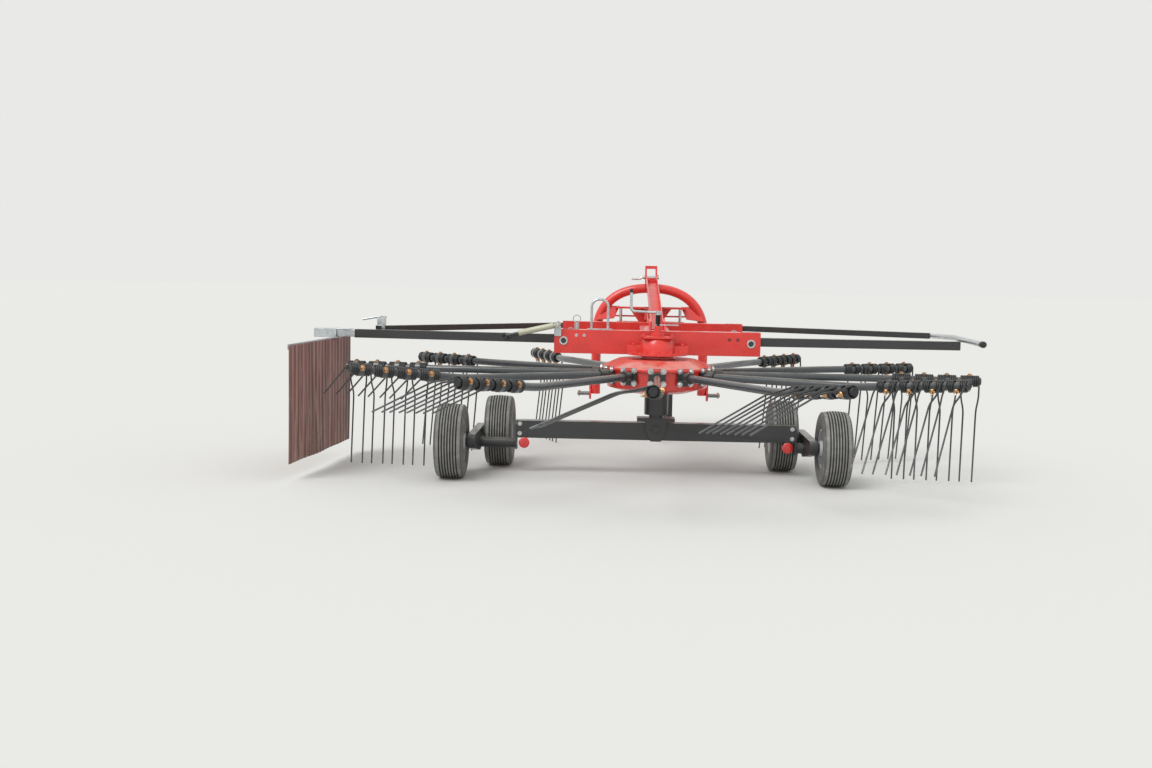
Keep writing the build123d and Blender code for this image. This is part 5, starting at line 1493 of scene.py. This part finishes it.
@dataclass
class DriveStub:
    """Input shaft with its splined end, which stands for the plain one of the frame."""

    body_radius: float = 22 * MM
    outer: float = 17.45 * MM
    root: float = 14.8 * MM
    neck_over: float = 0.2 * MM
    splines: int = 6
    long: float = 100 * MM
    lock_at: float = 38 * MM
    step: float = 4 * MM
    round: float = 3 * MM
    flank: float = 3.0
    end_share: float = 0.9
    sides: int = 96

    def build(self) -> None:
        """A circle carried along the axis; on the stub its radius steps between root and outer by the sign
        of the cosine of six times the angle, softened, with a round groove for the coupling's lock."""
        low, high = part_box("input_shaft")
        x, _, z = middle("input_shaft")
        angle = np.arange(self.sides) * 2 * pi / self.sides
        tooth = np.clip(0.5 + self.flank * np.cos(self.splines * angle), 0, 1)
        plain, shoulder = np.full(self.sides, self.body_radius), np.full(self.sides, self.outer)
        spline = self.root + (self.outer - self.root) * tooth
        neck = np.minimum(spline, self.root + self.neck_over)
        start, lock, step = high.y - self.long, high.y - self.lock_at, self.step
        rows = (
            (low.y, plain), (start - self.round, plain), (start, shoulder), (start + step, shoulder),
            (start + 2 * step, spline), (lock - step, spline), (lock - step / 2, neck), (lock + step / 2, neck),
            (lock + step, spline), (high.y - self.round, spline), (high.y, spline * self.end_share),
        )
        along = np.array([place for place, _ in rows])[:, None]
        radius = np.stack([values for _, values in rows])
        points = [x + radius * np.cos(angle), along + 0 * radius, z + radius * np.sin(angle)]
        made = Skin()
        made.grid(np.stack(points, axis=-1), SHAFT_STEEL)
        made.piece("splined_input_shaft", "frame", Slot.BRIGHT, ("input_shaft",), crease=30)


# Nodes that are pressed, folded or flame-cut and get eased edges, with the width of the edge in millimetres
EASED = {
    "rear_beam": 4, "front_beam": 4, "main_beam": 3, "axle_beam": 5, "bogie_left": 2, "bogie_right": 2,
    "column": 2, "gearbox": 3, "rotor_hub": 4, "top_link_bracket": 1.5, "mast_stay": 1.5, "stand_sleeve": 3,
    "parking_leg": 3, "left_guard_rear_tube": 3, "left_guard_front_tube": 3, "right_guard_rear_tube": 3,
    "right_guard_front_tube": 3, "curtain_carrier": 2, "strut_bracket": 1.5,
    "arm_sockets": 1.5, "lower_link_pin_left": 1.5, "lower_link_pin_right": 1.5,
}

# Distance under which corners merge, and degrees: faces flatter than this merge, edges sharper stay, are eased
WELD = 0.02 * MM
FLAT, NODE_CREASE, NODE_EDGE = 1.0, 32, 40

# Faces beyond a place along one axis of these nodes have a finish of their own: axis, sign, place, finish
CLAMP_Z = 819 * MM
LINK_PLATE_OUT = 430.5 * MM
PATCHES = {
    "left_guard_front_tube": (2, 1, CLAMP_Z, ZINC),
    "lower_link_pin_left": (0, -1, LINK_PLATE_OUT - ROTOR[0], SHAFT_STEEL),
    "lower_link_pin_right": (0, 1, LINK_PLATE_OUT + ROTOR[0], SHAFT_STEEL),
}

# Finish and the starts of the nodes' names that have it; a later row goes before an earlier one
NODE_FINISHES = (
    (RIM_SILVER, ("rim_",)),
    (BLACK, ("bogie_", "axle_beam", "column", "arm_sockets", "left_guard_", "right_guard_", "strut_rod",
             "parking_leg")),
    (ZINC, ("right_guard_rail", "height_crank", "hose_hoop", "latch_pin", "curtain_carrier", "curtain_bar",
            "strut_bracket")),
    (LENS, ("reflector_",)),
    (RED_DUSTY, ("rotor_hub",)),
    (RED_CLEAN, ("mast_stay",)),
    (RED, ("gearbox", "rear_beam", "front_beam", "main_beam", "headstock_", "top_link_bracket",
           "lower_link_pin_", "stand_sleeve")),
    (PLATED, ("king_pin", "upper_pin", "top_link_pin")),
    (SHAFT_STEEL, ("input_shaft",)),
    (PLASTIC, ("shaft_guard",)),
    (STRUT_BEIGE, ("strut_cylinder",)),
)


def ease(name: str, width: float) -> None:
    """Replace a node by a copy of itself with merged faces and eased edges.

    Args:
        name: the CAD node.
        width: width of the bevel in metres.
    """
    mesh = frame["nodes"][name].data.copy()
    mesh.name = f"eased_{name}"
    shell = bmesh.new()
    shell.from_mesh(mesh)
    bmesh.ops.remove_doubles(shell, verts=shell.verts, dist=WELD)
    bmesh.ops.dissolve_limit(shell, angle_limit=radians(FLAT), verts=shell.verts, edges=shell.edges)
    shell.to_mesh(mesh)
    shell.free()
    crease_edges(mesh, NODE_CREASE)
    if name in PATCHES:
        axis, sign, place, finish = PATCHES[name]
        mesh.materials.append(finish.material())
        centre = np.array([face.center[axis] for face in mesh.polygons])
        mesh.polygons.foreach_set("material_index", (sign * centre > place).astype(np.int32))
    made = put(mesh.name, mesh)
    ease_edges(made, width, NODE_EDGE)
    mount(made, BODY_OF[name], (name,))


def dress_nodes() -> None:
    """Give each CAD node that shows its finish."""
    for finish, starts in NODE_FINISHES:
        for node in (node for name, node in frame["nodes"].items() if name.startswith(starts)):
            if not node.material_slots:
                node.data.materials.append(None)
            for place in node.material_slots:
                place.material = finish.material()


@dataclass
class Studio:
    """Plain pale floor, soft even light from a pale sky and a broad sun, and the camera of the photograph."""

    floor_half: float = 60.0
    pale: str = "#E9E9E7"
    ground: str = "#CECECC"
    sky_level: float = 1.12
    shown_level: float = 1.0
    sun_level: float = 1.75
    sun_wide: float = 34.0
    sun_from: tuple = (-0.55, -0.65, 1.0)
    photo_wide: int = 1152
    focus_pixels: float = 1337
    sensor: float = 36.0
    camera_off_rotor: tuple = (-0.223, -7.671)
    camera_high: float = 1.2
    camera_turn: float = 1.8
    camera_down: float = 5.05
    camera_roll: float = 1.0

    def lay_floor(self) -> None:
        """A broad flat floor that the wheels stand on, without gloss."""
        half = self.floor_half
        mesh = bpy.data.meshes.new("floor")
        mesh.from_pydata([(-half, -half, 0), (half, -half, 0), (half, half, 0), (-half, half, 0)], [], [(0, 1, 2, 3)])
        material = bpy.data.materials.new("pale_floor")
        material.use_nodes = True
        matt = {"Base Color": linear(self.ground), "Roughness": 1.0, "Specular IOR Level": 0.0}
        set_sockets(material.node_tree.nodes["Principled BSDF"], matt)
        mesh.materials.append(material)
        put("floor", mesh)

    def light(self) -> None:
        """The sky lights the object at its own level and shows at the floor's brightness."""
        world = bpy.data.worlds.new("pale sky")
        world.use_nodes = True
        tree = world.node_tree
        seen = add_node(tree, "LightPath")["Is Camera Ray"]
        level = add_node(tree, "MapRange", {0: seen, 3: self.sky_level, 4: self.shown_level})[0]
        set_sockets(tree.nodes["Background"], {"Color": linear(self.pale), "Strength": level})
        bpy.context.scene.world = world
        sun = bpy.data.lights.new("sun", "SUN")
        sun.energy = self.sun_level
        sun.angle = radians(self.sun_wide)
        put("sun", sun).rotation_euler = (-Vector(self.sun_from)).to_track_quat("-Z", "Y").to_euler()

    def set_camera(self) -> None:
        """Stand the camera where the photograph was taken from."""
        camera = bpy.data.cameras.new("camera")
        camera.sensor_width = self.sensor
        camera.lens = self.focus_pixels / self.photo_wide * self.sensor
        camera.clip_end = 200
        holder = put("camera", camera)
        turn = Matrix.Rotation(radians(self.camera_turn), 4, "Z")
        tilt = Matrix.Rotation(radians(90 - self.camera_down), 4, "X")
        roll = Matrix.Rotation(radians(self.camera_roll), 4, "Z")
        place = (*(ROTOR[:2] + self.camera_off_rotor), self.camera_high)
        holder.matrix_world = Matrix.Translation(place) @ turn @ tilt @ roll
        bpy.context.scene.camera = holder
        bpy.context.scene.view_settings.view_transform = "Standard"

    def build(self) -> None:
        """Floor, light and camera."""
        self.lay_floor()
        self.light()
        self.set_camera()


def main() -> None:
    """Dress the frame piece by piece."""
    logging.basicConfig(level=logging.INFO, format="%(name)s %(message)s")
    Studio().build()
    dress_nodes()
    for name, width in EASED.items():
        ease(name, width * MM)
    parts = (Wheels(), TineArms(), RotorFittings(), Curtain(), BeamFittings(), AxleFittings(), Headstock(),
             Crank(), GuardFittings(), DriveStub())
    for part in parts:
        part.build()


if __name__ == "__main__":
    main()
